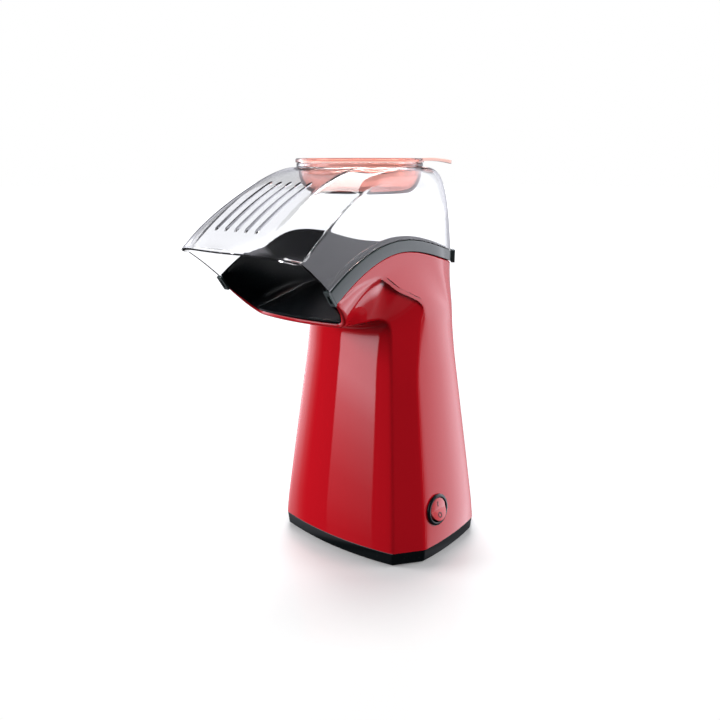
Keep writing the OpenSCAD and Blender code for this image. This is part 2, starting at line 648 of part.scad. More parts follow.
// Radius to which the tab's sheet is curved, so that it arches over and falls at its end
tab_bend = 60;
module tab_2d() {
    translate([0, -tab_w / 2]) square([tab_len - tab_end_r, tab_w]);
    for (side = [-1, 1])
        translate([tab_len - tab_end_r, side * (tab_w / 2 - tab_end_r)]) circle(r = tab_end_r);
    translate([0, tab_end_r - tab_w / 2]) square([tab_len, tab_w - 2 * tab_end_r]);
}
module measuring_cup() color([1, 0.45, 0.3, 0.6]) place() translate([0, -cup_y, 0]) {
    rotate_extrude($fn = 96) difference() {
        union() {
            polygon(concat(
                [[0, cup_low]],
                bowl_curve(cup_floor_r, bowl_r, cup_low, hood_top),
                [[bowl_r, rim_z + rim_t], [0, rim_z + rim_t]]
            ));
            translate([0, rim_z]) square([rim_r, rim_t]);
        }
        polygon(concat(
            [[0, cup_low + cup_wall]],
            bowl_curve(cup_floor_r - cup_wall * 0.4, bowl_r - cup_wall, cup_low + cup_wall, hood_top),
            [[bowl_r - cup_wall, rim_z + rim_t + 1], [0, rim_z + rim_t + 1]]
        ));
    }
    rotate([0, 0, tab_turn]) translate([rim_r - 1.2, 0, rim_z + rim_t]) intersection() {
        translate([0, 0, -8]) linear_extrude(10) tab_2d();
        translate([5, 0, 0.6 - tab_bend]) rotate([90, 0, 0]) difference() {
            cylinder(h = tab_w + 2, r = tab_bend, center = true, $fn = 180);
            cylinder(h = tab_w + 4, r = tab_bend - tab_t, center = true, $fn = 180);
        }
    }
}

// ---- levels of the parts inside ----------------------------------------------------------
chamber_low = chamber_top - chamber_depth;
duct_top = chamber_low - heater_h - 4;
duct_low = duct_top - duct_h;
duct_or = duct_r + 3.5;
base_top = foot_h + base_floor;
post_xy = duct_or * 0.8;
post_r = 4.2;
post_hole_r = 1.2;
shaft_r = 1.6;
motor_top = duct_low;
motor_low = motor_top - motor_len;

// ---- base --------------------------------------------------------------------------------
// Flat outline of the section at height z, moved inwards by d
function outline(z, d) =
    let (g = loop([for (k = [0 : k_end]) section_pt(k, z)]), m = len(g))
    [for (c = [0 : m - 1]) let (t = g[(c + 1) % m] - g[(c + m - 1) % m], n = unit([t[1], -t[0]]))
        [g[c][0] - d * n[0], g[c][1] - d * n[1]]];
function outline_at(z, d, h) = [for (p = outline(z, d)) [p[0], p[1], h]];
lip_h = 4;
module slab(rings) {
    m = len(rings[0]);
    n = len(rings);
    polyhedron(
        [for (r = rings) each r],
        concat(
            [for (r = [0 : n - 2]) each ring_faces(r * m, (r + 1) * m, m)],
            [[for (c = [0 : m - 1]) c], [for (c = [0 : m - 1]) n * m - 1 - c]]
        ),
        convexity = 4
    );
}
vent_w = 2.6;
vent_len = 22;
vent_pitch = 6;
vent_count = 9;
foot_x = base_w / 2 - 30;
foot_y = base_d / 2 - 16;
block_w = 20;
block_d = 11;
block_h = 10;
block_y = base_d / 2 - 26;
module at_posts() for (sx = [-1, 1], sy = [-1, 1]) translate([sx * post_xy, sy * post_xy, 0]) children();
module at_feet() for (sx = [-1, 1], sy = [-1, 1]) translate([sx * foot_x, sy * foot_y, 0]) children();
// Depth to which the feet sit in the base's floor
foot_sink = 1;
screw_head_r = 2.8;
screw_head_h = 1.8;
recess_r = screw_head_r + 0.3;
recess_h = 3;
module base_cover() color([0.08, 0.11, 0.11]) place() difference() {
    union() {
        difference() {
            union() {
                slab([
                    outline_at(strip_h, strip_inset, foot_h),
                    outline_at(strip_h, strip_inset - 1, foot_h + 1),
                    outline_at(strip_h, 0.4, strip_h - 1),
                    outline_at(strip_h, 0, strip_h)
                ]);
                translate([0, 0, foot_h + 1]) linear_extrude(strip_h + lip_h - foot_h - 1)
                    polygon(outline(strip_h + lip_h, wall + seat));
            }
            translate([0, 0, base_top]) linear_extrude(strip_h + lip_h)
                polygon(outline(strip_h + lip_h, strip_inset + wall));
            // Room for the bosses of the housing inside the lip
            corners() translate([boss_xy[0], boss_xy[1], strip_h]) {
                cylinder(h = lip_h + 1, r = boss_r + 0.5);
                rotate([0, 0, atan2(cham_normal[1], cham_normal[0])])
                    translate([0, -2, 0]) cube([boss_r + 8, 4, lip_h + 1]);
            }
        }
        corners() translate([boss_xy[0], boss_xy[1], base_top - 0.5])
            cylinder(h = strip_h - seat - base_top + 0.5, r = boss_r);
        at_posts() translate([0, 0, base_top - 0.5])
            cylinder(h = duct_low - base_top + 0.5, r = post_r);
    }
    corners() translate([boss_xy[0], boss_xy[1], 0]) {
        cylinder(h = foot_h + recess_h, r = recess_r);
        cylinder(h = strip_h + 1, r = boss_hole_r);
    }
    at_posts() translate([0, 0, duct_low - 12]) cylinder(h = 14, r = post_hole_r);
    at_feet() translate([0, 0, foot_h - 1]) cylinder(h = 1 + foot_sink, r = foot_r + 0.1);
    for (i = [0 : vent_count - 1])
        translate([(i - (vent_count - 1) / 2) * vent_pitch - vent_w / 2, -vent_len / 2, 0])
            cube([vent_w, vent_len, base_top + 1]);
}

module rubber_feet() color([0.15, 0.15, 0.15]) place() at_feet()
    cylinder(h = foot_h + foot_sink, r = foot_r);

// Pan-head screw with its head's seat at z = 0 and its shank along +Z
module screw(shank_r, length, head_r, head_h) {
    cylinder(h = length, r = shank_r);
    difference() {
        translate([0, 0, -head_h]) cylinder(h = head_h, r = head_r);
        for (a = [0, 90]) rotate([0, 0, a])
            translate([-head_r * 0.6, -0.35, -head_h - 1]) cube([head_r * 1.2, 0.7, 1 + head_h * 0.5]);
    }
}
base_screw_len = 16;
module base_screws() color("silver") place() corners()
    translate([boss_xy[0], boss_xy[1], foot_h + recess_h])
    screw(boss_hole_r - 0.1, base_screw_len, screw_head_r, screw_head_h);

// ---- switch ------------------------------------------------------------------------------
barrel_r = switch_hole_d / 2 - 0.1;
barrel_len = 14;
bezel_h = 1.8;
pocket_r = barrel_r - 0.9;
pocket_h = 6.5;
rocker_r = pocket_r - 0.7;
pin_r = 1;
pivot_in = 1.2;
// Local X points out of the side face here
module switch_body() color([0.1, 0.11, 0.11]) place() at_switch() difference() {
    rotate([0, 90, 0]) {
        translate([0, 0, -barrel_len]) cylinder(h = barrel_len + bezel_h, r = barrel_r);
        translate([0, 0, seat]) cylinder(h = bezel_h - seat - 0.5, d = bezel_d);
        translate([0, 0, seat]) cylinder(h = bezel_h - seat, d = bezel_d - 1.2);
    }
    rotate([0, 90, 0]) translate([0, 0, -pocket_h]) cylinder(h = 20, r = pocket_r);
    translate([-pivot_in, 0, 0]) rotate([90, 0, 0])
        cylinder(h = 2 * barrel_r + 2, r = pin_r + run, center = true);
}
rocker_rise = 3;
rocker_in = 2.2;
module switch_rocker() color([0.85, 0.2, 0.22, 0.9]) place() at_switch()
    translate([-pivot_in, 0, 0]) rotate([0, -rocker_tip / 2, 0]) {
        difference() {
            rotate([0, 90, 0]) translate([0, 0, -rocker_in])
                cylinder(h = rocker_in + rocker_rise + pivot_in, r = rocker_r);
            for (side = [-1, 1]) translate([rocker_rise + pivot_in - 1.6, 0, 0]) rotate([0, side * -10, 0])
                translate([0, -rocker_r - 1, side > 0 ? -30 : 0]) cube([10, 2 * rocker_r + 2, 30]);
        }
        rotate([90, 0, 0]) cylinder(h = 2 * (barrel_r - 0.2), r = pin_r, center = true);
    }
module switch_terminals() color("gold") place() at_switch()
    for (i = [-1 : 1]) translate([-barrel_len - 7, -2.4, i * 5 - 0.4]) cube([7, 4.8, 0.8]);

// ---- cord inlet: the bare grommet, with its bore open ------------------------------------
inlet_bore_r = 3.5;
module cord_inlet() color([0.1, 0.11, 0.11]) place() at_inlet() rotate([90, 0, 0]) difference() {
    union() {
        translate([0, 0, -2]) cylinder(h = 12, r = inlet_r - 0.1);
        translate([0, 0, -inlet_flange]) cylinder(h = inlet_flange - seat, r = inlet_r + 2);
    }
    translate([0, 0, -3]) cylinder(h = 20, r = inlet_bore_r);
}
module terminal_block() color([0.9, 0.88, 0.8]) place()
    translate([-block_w / 2, block_y - block_d / 2, base_top]) difference() {
        cube([block_w, block_d, block_h]);
        for (i = [0 : 2]) translate([block_w * (i + 0.5) / 3, -1, block_h * 0.55])
            rotate([-90, 0, 0]) cylinder(h = block_d + 2, r = 1.6);
    }

// ---- popping chamber and heater ----------------------------------------------------------
chamber_wall = 0.8;
flange_t = 1;
chamber_r = duct_r - 1.2 - air_gap;
louvre_h = 11;
louvre_w = 1.6;
dome = 3;
module popping_chamber() color([0.8, 0.81, 0.83]) place() difference() {
    union() {
        rotate_extrude($fn = 96) polygon([
            [0, chamber_low + dome],
            [chamber_r * 0.55, chamber_low + dome * 0.6],
            [chamber_r - 3, chamber_low],
            [chamber_r, chamber_low + 3],
            [chamber_r, chamber_top],
            [chamber_r - chamber_wall, chamber_top],
            [chamber_r - chamber_wall, chamber_low + 3.4],
            [chamber_r - 3.3, chamber_low + chamber_wall],
            [chamber_r * 0.55, chamber_low + dome * 0.6 + chamber_wall],
            [0, chamber_low + dome + chamber_wall]
        ]);
        translate([0, 0, chamber_top - flange_t]) linear_extrude(flange_t) difference() {
            flange_2d(duct_r);
            circle(r = chamber_r - chamber_wall);
        }
    }
    at_ears() translate([0, 0, chamber_top - flange_t - 1]) cylinder(h = flange_t + 2, r = ear_hole_r);
    for (i = [0 : louvre_count - 1]) rotate([0, 0, 360 * i / louvre_count])
        translate([chamber_r - 0.4, 0, chamber_low + 6]) rotate([25, 0, 50])
        translate([-4, -louvre_w / 2, 0]) cube([8, louvre_w, louvre_h]);
}
module chamber_screws() color("silver") place() at_ears()
    translate([0, 0, chamber_top - flange_t]) screw(ear_hole_r - 0.25, flange_t + plate_t + 1.2, 2.3, 1.5);

shield_t = 1.2;
module heat_shield() color([0.75, 0.75, 0.72]) place() difference() {
    translate([0, 0, duct_top]) cylinder(h = chamber_top - flange_t - duct_top, r = duct_r, $fn = 96);
    translate([0, 0, duct_top - 1]) cylinder(h = chamber_top, r = duct_r - shield_t, $fn = 96);
    at_ears() translate([0, 0, chamber_top - flange_t - 2.2]) cylinder(h = 4, r = 2.9);
}

former_t = 0.9;
coil_wire_r = 0.8;
coil_inset = 4;
coil_levels = [coil_inset, heater_h - coil_inset];
former_w = 2 * (duct_r - shield_t) - 2 * seat;
coil_r = [for (i = [0 : 3]) duct_r * (0.3 + 0.17 * i)];
module heater_former() color([0.85, 0.82, 0.7]) place() translate([0, 0, duct_top]) difference() {
    for (a = [0, 90]) rotate([0, 0, a])
        translate([-former_w / 2, -former_t / 2, 0]) cube([former_w, former_t, heater_h]);
    for (z = coil_levels, r = coil_r) translate([0, 0, z]) rotate_extrude($fn = 96)
        translate([r, 0]) circle(r = coil_wire_r + seat, $fn = 24);
}
module heater_coil() color([0.45, 0.4, 0.38]) place() translate([0, 0, duct_top]) {
    for (z = coil_levels, r = coil_r) translate([0, 0, z]) rotate_extrude($fn = 96)
        translate([r, 0]) circle(r = coil_wire_r, $fn = 24);
}

thermo_z = duct_top + 10;
module thermostat() color([0.7, 0.7, 0.72]) place() translate([-duct_r - seat, 0, thermo_z]) {
    rotate([0, -90, 0]) cylinder(h = 4, r = 8);
    rotate([0, -90, 0]) cylinder(h = 7, r = 5);
    for (s = [-1, 1]) translate([-11, s * 3.2 - 1.5, -0.4]) cube([5, 3, 0.8]);
}
module thermal_fuse() color([0.85, 0.8, 0.7]) place() translate([duct_r + seat + 2, 0, thermo_z]) {
    translate([0, 0, -5]) cylinder(h = 10, r = 2);
    translate([0, 0, -9]) cylinder(h = 18, r = 0.5, $fn = 16);
}

// ---- fan duct, fan and motor -------------------------------------------------------------
duct_wall = 1.5;
duct_ear_r = 5.5;
inlet_in = motor_d / 2 + 2;
fan_gap = 5.5;
disc_t = 1.4;
blade_h = 13;
fan_z = duct_low + plate_t + fan_gap;
hub_r = 6;
hub_h = blade_h + disc_t;
motor_pitch = 9;
module fan_duct() color([0.16, 0.17, 0.18]) place() difference() {
    union() {
        translate([0, 0, duct_low]) cylinder(h = duct_h, r = duct_or, $fn = 96);
        for (a = [45 : 90 : 315]) rotate([0, 0, a]) {
            translate([post_xy * sqrt(2), 0, duct_low]) cylinder(h = plate_t, r = duct_ear_r);
            translate([duct_or - 3, 1 - duct_ear_r, duct_low]) cube([8, 2 * duct_ear_r - 2, plate_t]);
        }
    }
    translate([0, 0, duct_low + plate_t])
        cylinder(h = duct_h - plate_t - 2, r = duct_or - duct_wall, $fn = 96);
    translate([0, 0, duct_top - 3]) cylinder(h = 4, r = duct_r - shield_t - 2.5, $fn = 96);
    // Air inlets between four spokes round the motor
    translate([0, 0, duct_low - 1]) linear_extrude(plate_t + 2) difference() {
        circle(r = fan_r - 4);
        circle(r = inlet_in);
        for (a = [0, 90]) rotate([0, 0, a]) square([2 * fan_r, 7], center = true);
    }
    translate([0, 0, duct_low - 1]) cylinder(h = plate_t + 2, r = 5.3);
    for (s = [-1, 1]) translate([s * motor_pitch, 0, duct_low - 1]) cylinder(h = plate_t + 2, r = 1.7);
    at_posts() translate([0, 0, duct_low - 1]) cylinder(h = plate_t + 2, r = 1.7);
}
duct_screw_len = 11;
duct_head_r = 2.6;
duct_head_h = 1.8;
module duct_screws() color("silver") place() at_posts() translate([0, 0, duct_low + plate_t])
    mirror([0, 0, 1]) screw(post_hole_r - 0.1, duct_screw_len, duct_head_r, duct_head_h);
module motor_screws() color("silver") place() for (s = [-1, 1])
    translate([s * motor_pitch, 0, duct_low + plate_t])
    mirror([0, 0, 1]) screw(1.4, plate_t + 1.3, 2.5, 1.6);

// Blade outline: an arc of constant thickness from the hub to the rim
function arc_pts(r, a0, a1, n) = [for (i = [0 : n]) let (a = lerp(a0, a1, i / n)) r * [cos(a), sin(a)]];
blade_bend_r = fan_r * 0.75;
module blade_2d() {
    translate([hub_r - 1 - blade_bend_r * cos(70), -blade_bend_r * sin(70)])
        polygon(concat(arc_pts(blade_bend_r, 70, 5, 10), arc_pts(blade_bend_r - 1.2, 5, 70, 10)));
}
module fan_impeller() color([0.2, 0.2, 0.22]) place() translate([0, 0, fan_z]) difference() {
    union() {
        cylinder(h = disc_t, r = fan_r, $fn = 96);
        cylinder(h = hub_h, r = hub_r);
        intersection() {
            translate([0, 0, disc_t - 0.2]) linear_extrude(blade_h)
                for (i = [0 : blade_count - 1]) rotate([0, 0, 360 * i / blade_count]) blade_2d();
            cylinder(h = 2 * blade_h, r = fan_r - 0.5, $fn = 96);
        }
    }
    translate([0, 0, -1]) cylinder(h = hub_h + 2, r = shaft_r);
}
can_t = 1.5;
cap_t = 3;
cap_boss = 2.4;
cap_boss_r = 5.2;
bearing_r = 4;
bearing_h = 4;
armature_r = motor_d / 2 - can_t - 4.6;
shaft_low = motor_low - 3;
shaft_top = fan_z + hub_h;
module motor_shaft() color("silver") place()
    translate([0, 0, shaft_low]) cylinder(h = shaft_top - shaft_low, r = shaft_r);
module motor_can() color([0.62, 0.64, 0.66]) place() difference() {
    union() {
        translate([0, 0, motor_low + cap_t]) cylinder(h = motor_len - cap_t, d = motor_d, $fn = 96);
        translate([0, 0, motor_top - 1]) cylinder(h = 2.6, r = 5);
    }
    translate([0, 0, motor_low]) cylinder(h = motor_len - can_t, d = motor_d - 2 * can_t, $fn = 96);
    translate([0, 0, motor_top - 5]) cylinder(h = 10, r = bearing_r);
    for (s = [-1, 1]) translate([s * motor_pitch, 0, motor_top - 3]) cylinder(h = 6, r = 1.5);
}
module motor_end_cap() color([0.15, 0.15, 0.15]) place() difference() {
    union() {
        translate([0, 0, motor_low]) cylinder(h = cap_t, d = motor_d, $fn = 96);
        translate([0, 0, motor_low - cap_boss]) cylinder(h = cap_boss + 0.6, r = cap_boss_r);
        translate([0, 0, motor_low + cap_t - 0.5]) cylinder(h = 2.5, d = motor_d - 2 * can_t - 0.2, $fn = 96);
    }
    translate([0, 0, motor_low - 3]) cylinder(h = cap_t + 6, r = bearing_r);
    translate([0, 0, motor_low + cap_t]) cylinder(h = 3, d = motor_d - 2 * can_t - 3, $fn = 96);
}
module motor_bearings() color([0.75, 0.6, 0.35]) place()
    for (z = [motor_low - 2, motor_top - 2.6]) translate([0, 0, z]) difference() {
        cylinder(h = bearing_h, r = bearing_r);
        translate([0, 0, -1]) cylinder(h = bearing_h + 2, r = shaft_r + run);
    }
// Gaps between the magnets and the ends of the motor, and between magnets and armature
magnet_low = 8;
magnet_high = 6;
magnet_gap = 0.8;
module motor_magnets() color([0.25, 0.25, 0.27]) place() difference() {
    translate([0, 0, motor_low + magnet_low])
        cylinder(h = motor_len - magnet_low - magnet_high, r = motor_d / 2 - can_t, $fn = 96);
    translate([0, 0, motor_low]) cylinder(h = motor_len, r = armature_r + magnet_gap, $fn = 96);
    translate([-3, -motor_d, motor_low]) cube([6, 2 * motor_d, motor_len]);
}
slot_n = 5;
// The armature's core and the commutator below it, as gaps to the ends of the motor
core_low = 11;
core_high = 9;
commutator_low = 5;
commutator_r = 4;
module armature() color([0.7, 0.4, 0.2]) place() difference() {
    union() {
        translate([0, 0, motor_low + core_low])
            cylinder(h = motor_len - core_low - core_high, r = armature_r, $fn = 96);
        translate([0, 0, motor_low + commutator_low])
            cylinder(h = core_low + 1 - commutator_low, r = commutator_r);
    }
    translate([0, 0, motor_low]) cylinder(h = motor_len, r = shaft_r);
    for (i = [0 : slot_n - 1]) rotate([0, 0, 360 * i / slot_n])
        translate([armature_r * 0.55, -1, motor_low + core_low - 1]) cube([armature_r, 2, motor_len]);
}
board_t = 1.4;
module rectifier_board() color([0.2, 0.42, 0.25]) place() difference() {
    translate([0, 0, motor_low - seat - board_t]) cylinder(h = board_t, r = motor_d / 2 - 1.5);
    translate([0, 0, motor_low - 5]) cylinder(h = 6, r = cap_boss_r + 0.2);
}
module diodes() color([0.12, 0.12, 0.12]) place() for (a = [45 : 90 : 315]) rotate([0, 0, a])
    translate([10.5, 0, motor_low - seat - board_t - 1.4]) rotate([90, 0, 0])
        cylinder(h = 5.2, r = 1.4, center = true);

housing();
trim_band();
chute();
collar_plate();
front_catches();
rear_catches();
clear_hood();
measuring_cup();
base_cover();
rubber_feet();
base_screws();
switch_body();
switch_rocker();
switch_terminals();
cord_inlet();
terminal_block();
popping_chamber();
chamber_screws();
heat_shield();
heater_former();
heater_coil();
thermostat();
thermal_fuse();
fan_duct();
duct_screws();
fan_impeller();
motor_shaft();
motor_can();
motor_end_cap();
motor_bearings();
motor_magnets();
armature();
motor_screws();
rectifier_board();
diodes();
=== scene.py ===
"""Looks of a hot-air popcorn maker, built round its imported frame.

Every piece is a closed mesh in metres in the frame's own axes: front is -Y, the side with
the switch is +X and +Z is up. The sizes below are in millimetres and are turned into metres
where a mesh is made.
"""
import sys
import json
import logging
from dataclasses import dataclass
from enum import Enum
from math import atan, atan2, copysign, cos, exp, log, pi, radians, sin, sqrt
from typing import Callable, Iterable, Sequence

import bmesh
import bpy
from mathutils import Matrix, Vector

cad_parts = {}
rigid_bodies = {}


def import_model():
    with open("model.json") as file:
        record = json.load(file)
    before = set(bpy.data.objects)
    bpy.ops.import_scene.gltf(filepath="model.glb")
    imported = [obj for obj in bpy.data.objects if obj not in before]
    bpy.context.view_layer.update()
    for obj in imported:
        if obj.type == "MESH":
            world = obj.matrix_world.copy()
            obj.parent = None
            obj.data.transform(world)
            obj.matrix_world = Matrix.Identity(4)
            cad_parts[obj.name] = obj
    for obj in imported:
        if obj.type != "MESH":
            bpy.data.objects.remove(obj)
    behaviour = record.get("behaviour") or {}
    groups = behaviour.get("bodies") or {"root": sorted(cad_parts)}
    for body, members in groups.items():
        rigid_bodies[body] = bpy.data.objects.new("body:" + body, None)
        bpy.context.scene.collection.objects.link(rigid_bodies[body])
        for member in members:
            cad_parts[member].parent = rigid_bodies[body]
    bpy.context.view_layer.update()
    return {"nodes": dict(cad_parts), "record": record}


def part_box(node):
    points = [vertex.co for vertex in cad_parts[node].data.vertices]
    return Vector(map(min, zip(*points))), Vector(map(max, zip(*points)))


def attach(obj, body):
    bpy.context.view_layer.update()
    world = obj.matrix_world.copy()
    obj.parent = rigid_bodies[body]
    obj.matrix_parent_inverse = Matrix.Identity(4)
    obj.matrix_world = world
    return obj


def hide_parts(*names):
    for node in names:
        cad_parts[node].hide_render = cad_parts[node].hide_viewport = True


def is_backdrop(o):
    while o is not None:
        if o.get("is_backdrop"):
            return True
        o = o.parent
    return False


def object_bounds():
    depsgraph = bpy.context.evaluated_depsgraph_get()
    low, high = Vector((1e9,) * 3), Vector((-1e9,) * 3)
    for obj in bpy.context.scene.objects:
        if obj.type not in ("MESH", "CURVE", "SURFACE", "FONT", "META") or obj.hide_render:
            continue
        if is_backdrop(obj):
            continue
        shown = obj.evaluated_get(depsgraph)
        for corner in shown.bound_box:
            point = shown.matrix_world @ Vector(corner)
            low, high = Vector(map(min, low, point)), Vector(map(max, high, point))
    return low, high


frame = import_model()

MM = 0.001
# Points closer than this, in metres, are merged
MERGE = 1e-6
# Largest share of a side that the rounding of one of its corners takes
CORNER_SHARE = 0.49
# Lowest roughness that the uneven polish may reach
LEAST_ROUGHNESS = 0.01
LOG = logging.getLogger("popcorn_maker")
Ring = list[Vector]
Grid = list[Ring]
Point2 = tuple[float, float]
Point3 = tuple[float, float, float]
Colour = tuple[float, float, float]
Stops = Sequence[Point2]
Piece = bpy.types.Object
Node = bpy.types.Node
Socket = bpy.types.NodeSocket


class Body(Enum):
    """Rigid bodies of the frame."""

    BASE = "base"
    HOOD = "hood"
    CUP = "cup"
    ROCKER = "rocker"
    ROTOR = "rotor"


class Slot(Enum):
    """Material slots of the record."""

    RED = "red_shell"
    TRIM = "grey_trim"
    BLACK = "black_plastic"
    BLACK_GLOSS = "black_gloss"
    CLEAR = "clear_plastic"
    CUP = "red_clear_plastic"
    FEET = "foot_rubber"
    SCREW = "screw_steel"
    STEEL = "shield_steel"
    ROCKER = "rocker_red"
    BRASS = "terminal_brass"
    CREAM = "cream_plastic"
    ALUMINIUM = "chamber_aluminium"
    MICA = "mica_board"
    WIRE = "heater_wire"
    MAGNET = "magnet_grey"
    CORE = "armature_core"
    BOARD = "board_green"


class Way(Enum):
    """Directions in which a closed grid is smoothed."""

    UPWARDS = "from row to row"
    ROUND = "from column to column"


# ---- numbers ----
def mix(a: float, b: float, t: float) -> float:
    """Returns the value a share t of the way from a to b."""
    return a + (b - a) * t


def smooth(t: float) -> float:
    """Returns t eased between 0 and 1, held at both ends."""
    c = min(1.0, max(0.0, t))
    return c * c * (3 - 2 * c)


def bezier(a: Vector, b: Vector, c: Vector, d: Vector, t: float) -> Vector:
    """Returns the point t along a cubic curve with the control points a, b, c and d."""
    s = 1 - t
    return a * (s * s * s) + b * (3 * t * s * s) + c * (3 * t * t * s) + d * (t * t * t)


def through(points: Sequence[Vector], t: float) -> Vector:
    """Returns the point a share t along a smooth curve through the points."""
    n = len(points) - 1
    s = min(n - 1e-6, max(0.0, t * n))
    i = int(s)
    f = s - i
    p1, p2 = points[i], points[i + 1]
    p0 = points[i - 1] if i > 0 else 2 * p1 - p2
    p3 = points[i + 2] if i + 2 <= n else 2 * p2 - p1
    return 0.5 * (
        2 * p1 + (p2 - p0) * f + (2 * p0 - 5 * p1 + 4 * p2 - p3) * (f * f)
        + (3 * p1 - p0 - 3 * p2 + p3) * (f * f * f)
    )


# ---- meshes ----
def axis_point() -> Vector:
    """Returns the point on the floor under the body's axis, in metres."""
    low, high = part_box("motor_shaft")
    return Vector(((low[0] + high[0]) / 2, (low[1] + high[1]) / 2, 0.0))


AXIS = axis_point()


def place(p: Vector) -> Vector:
    """Returns a point given in millimetres from the body's axis in the frame's metres."""
    return Vector((AXIS.x + p.x * MM, AXIS.y + p.y * MM, p.z * MM))


def linked(name: str, mesh: bpy.types.Mesh) -> Piece:
    """Makes an object of a mesh and links it to the scene."""
    obj = bpy.data.objects.new(name, mesh)
    bpy.context.scene.collection.objects.link(obj)
    return obj


def new_object(name: str, points: Iterable[Vector], faces: Iterable[Sequence[int]]) -> Piece:
    """Makes a mesh object from points in millimetres.

    Args:
        name: Name of the piece.
        points: Points from the body's axis, in millimetres.
        faces: Corner numbers of each face, anticlockwise from outside.

    Returns:
        The object, linked to the scene and shaded smooth.
    """
    mesh = bpy.data.meshes.new(name)
    mesh.from_pydata([place(p) for p in points], [], [tuple(f) for f in faces])
    mesh.validate()
    mesh.polygons.foreach_set("use_smooth", [True] * len(mesh.polygons))
    return linked(name, mesh)


def mirrored(p: Vector) -> Vector:
    """Returns the point on the other side of the body's middle plane."""
    return Vector((-p.x, p.y, p.z))


def four(x: float, y: float) -> list[Vector]:
    """Returns the four points on the floor that mirror each other about both middle planes."""
    return [Vector((sx * x, sy * y, 0)) for sx in (-1, 1) for sy in (-1, 1)]


def whole(half: Ring) -> Ring:
    """Returns a closed loop from its +X half, which runs from the front to the rear."""
    n = len(half) - 1
    return list(half) + [mirrored(half[i]) for i in range(n - 1, 0, -1)]


def normals(grid: Grid) -> Grid:
    """Returns the outward direction at each point of a closed grid."""
    rows, cols = len(grid), len(grid[0])
    out = []
    for r in range(rows):
        up, down = grid[min(rows - 1, r + 1)], grid[max(0, r - 1)]
        row = grid[r]
        out.append([
            (row[(c + 1) % cols] - row[c - 1]).cross(up[c] - down[c]).normalized() for c in range(cols)
        ])
    return out


def blurred(field: Grid, passes: int) -> Grid:
    """Returns a closed grid of directions averaged with their neighbours a number of times."""
    rows, cols = len(field), len(field[0])
    for _ in range(passes):
        field = [[
            (2 * field[r][c] + field[r][c - 1] + field[r][(c + 1) % cols]
             + field[max(0, r - 1)][c] + field[min(rows - 1, r + 1)][c]).normalized()
            for c in range(cols)] for r in range(rows)]
    return field


def moved(grid: Grid, distance: float, passes: int = 3, level: bool = True) -> Grid:
    """Moves a closed grid along its blurred outward directions.

    Args:
        grid: Points of the surface.
        distance: How far to move, outwards if positive.
        passes: How often the directions are averaged first.
        level: Whether the lowest row stays at its height.

    Returns:
        The moved points.
    """
    field = blurred(normals(grid), passes)
    out = []
    for r, row in enumerate(grid):
        line = []
        for c, p in enumerate(row):
            n = field[r][c]
            if level and r == 0:
                n = Vector((n.x, n.y, 0)).normalized()
            line.append(p + n * distance)
        out.append(line)
    return out


def relaxed(grid: Grid, weight: Callable[[int, int], float], passes: int, way: Way) -> Grid:
    """Smooths a closed grid in one direction.

    Args:
        grid: Points of the surface.
        weight: Gives the share of the correction for a row and a column.
        passes: How often to smooth.
        way: Whether to smooth up and down or round the loop.

    Returns:
        The smoothed points.
    """
    rows, cols = len(grid), len(grid[0])
    for _ in range(passes):
        new = [list(row) for row in grid]
        for r in range(rows):
            if way is Way.UPWARDS and r in (0, rows - 1):
                continue
            for c in range(cols):
                w = weight(r, c)
                if w <= 0:
                    continue
                if way is Way.UPWARDS:
                    mean = (grid[r - 1][c] + grid[r + 1][c]) / 2
                else:
                    mean = (grid[r][c - 1] + grid[r][(c + 1) % cols]) / 2
                new[r][c] = grid[r][c].lerp(mean, w)
        grid = new
    return grid


def beaded(outer: Grid, inner: Grid, depth: float, bits: int = 6) -> tuple[Grid, Grid]:
    """Rounds the upper edge of a wall between two grids.

    Args:
        outer: Outer points, row by row upwards.
        inner: Inner points in the same order.
        depth: How far below the edge the rounding starts, in millimetres.
        bits: Number of steps over the edge.

    Returns:
        The outer grid with the rounded edge as further rows, and the inner grid cut back to it.
    """
    tops: Grid = [[] for _ in range(bits + 1)]
    for c in range(len(outer[0])):
        p, q = outer[-1][c], inner[-1][c]
        up = (p - outer[-2][c]).normalized() * depth
        for i, row in enumerate(tops):
            a = pi * i / bits
            row.append((p + q) / 2 + (p - q) / 2 * cos(a) - up * (1 - sin(a)))
    return outer[:-1] + tops[:-1], inner[:-1] + [tops[-1]]


def shell(name: str, outer: Grid, inner: Grid, bead: float = 0.0) -> Piece:
    """Makes a closed wall between an outer and an inner grid.

    Args:
        name: Name of the piece.
        outer: Outer points, row by row upwards, each row anticlockwise from above.
        inner: Inner points in the same order.
        bead: Depth of the rounding of the upper edge, in millimetres.

    Returns:
        The object.
    """
    if bead > 0:
        outer, inner = beaded(outer, inner, bead)
    top = [p for row in outer for p in row]
    low = [p for row in inner for p in row]
    n, m, cols = len(outer), len(inner), len(outer[0])
    shift = len(top)
    faces = []
    for c in range(cols):
        d = (c + 1) % cols
        for r in range(n - 1):
            a, b = r * cols, (r + 1) * cols
            faces.append((a + c, a + d, b + d, b + c))
        for r in range(m - 1):
            a, b = shift + r * cols, shift + (r + 1) * cols
            faces.append((a + d, a + c, b + c, b + d))
        a, b = (n - 1) * cols, shift + (m - 1) * cols
        faces.append((a + c, a + d, b + d, b + c))
        faces.append((d, c, shift + c, shift + d))
    return new_object(name, top + low, faces)


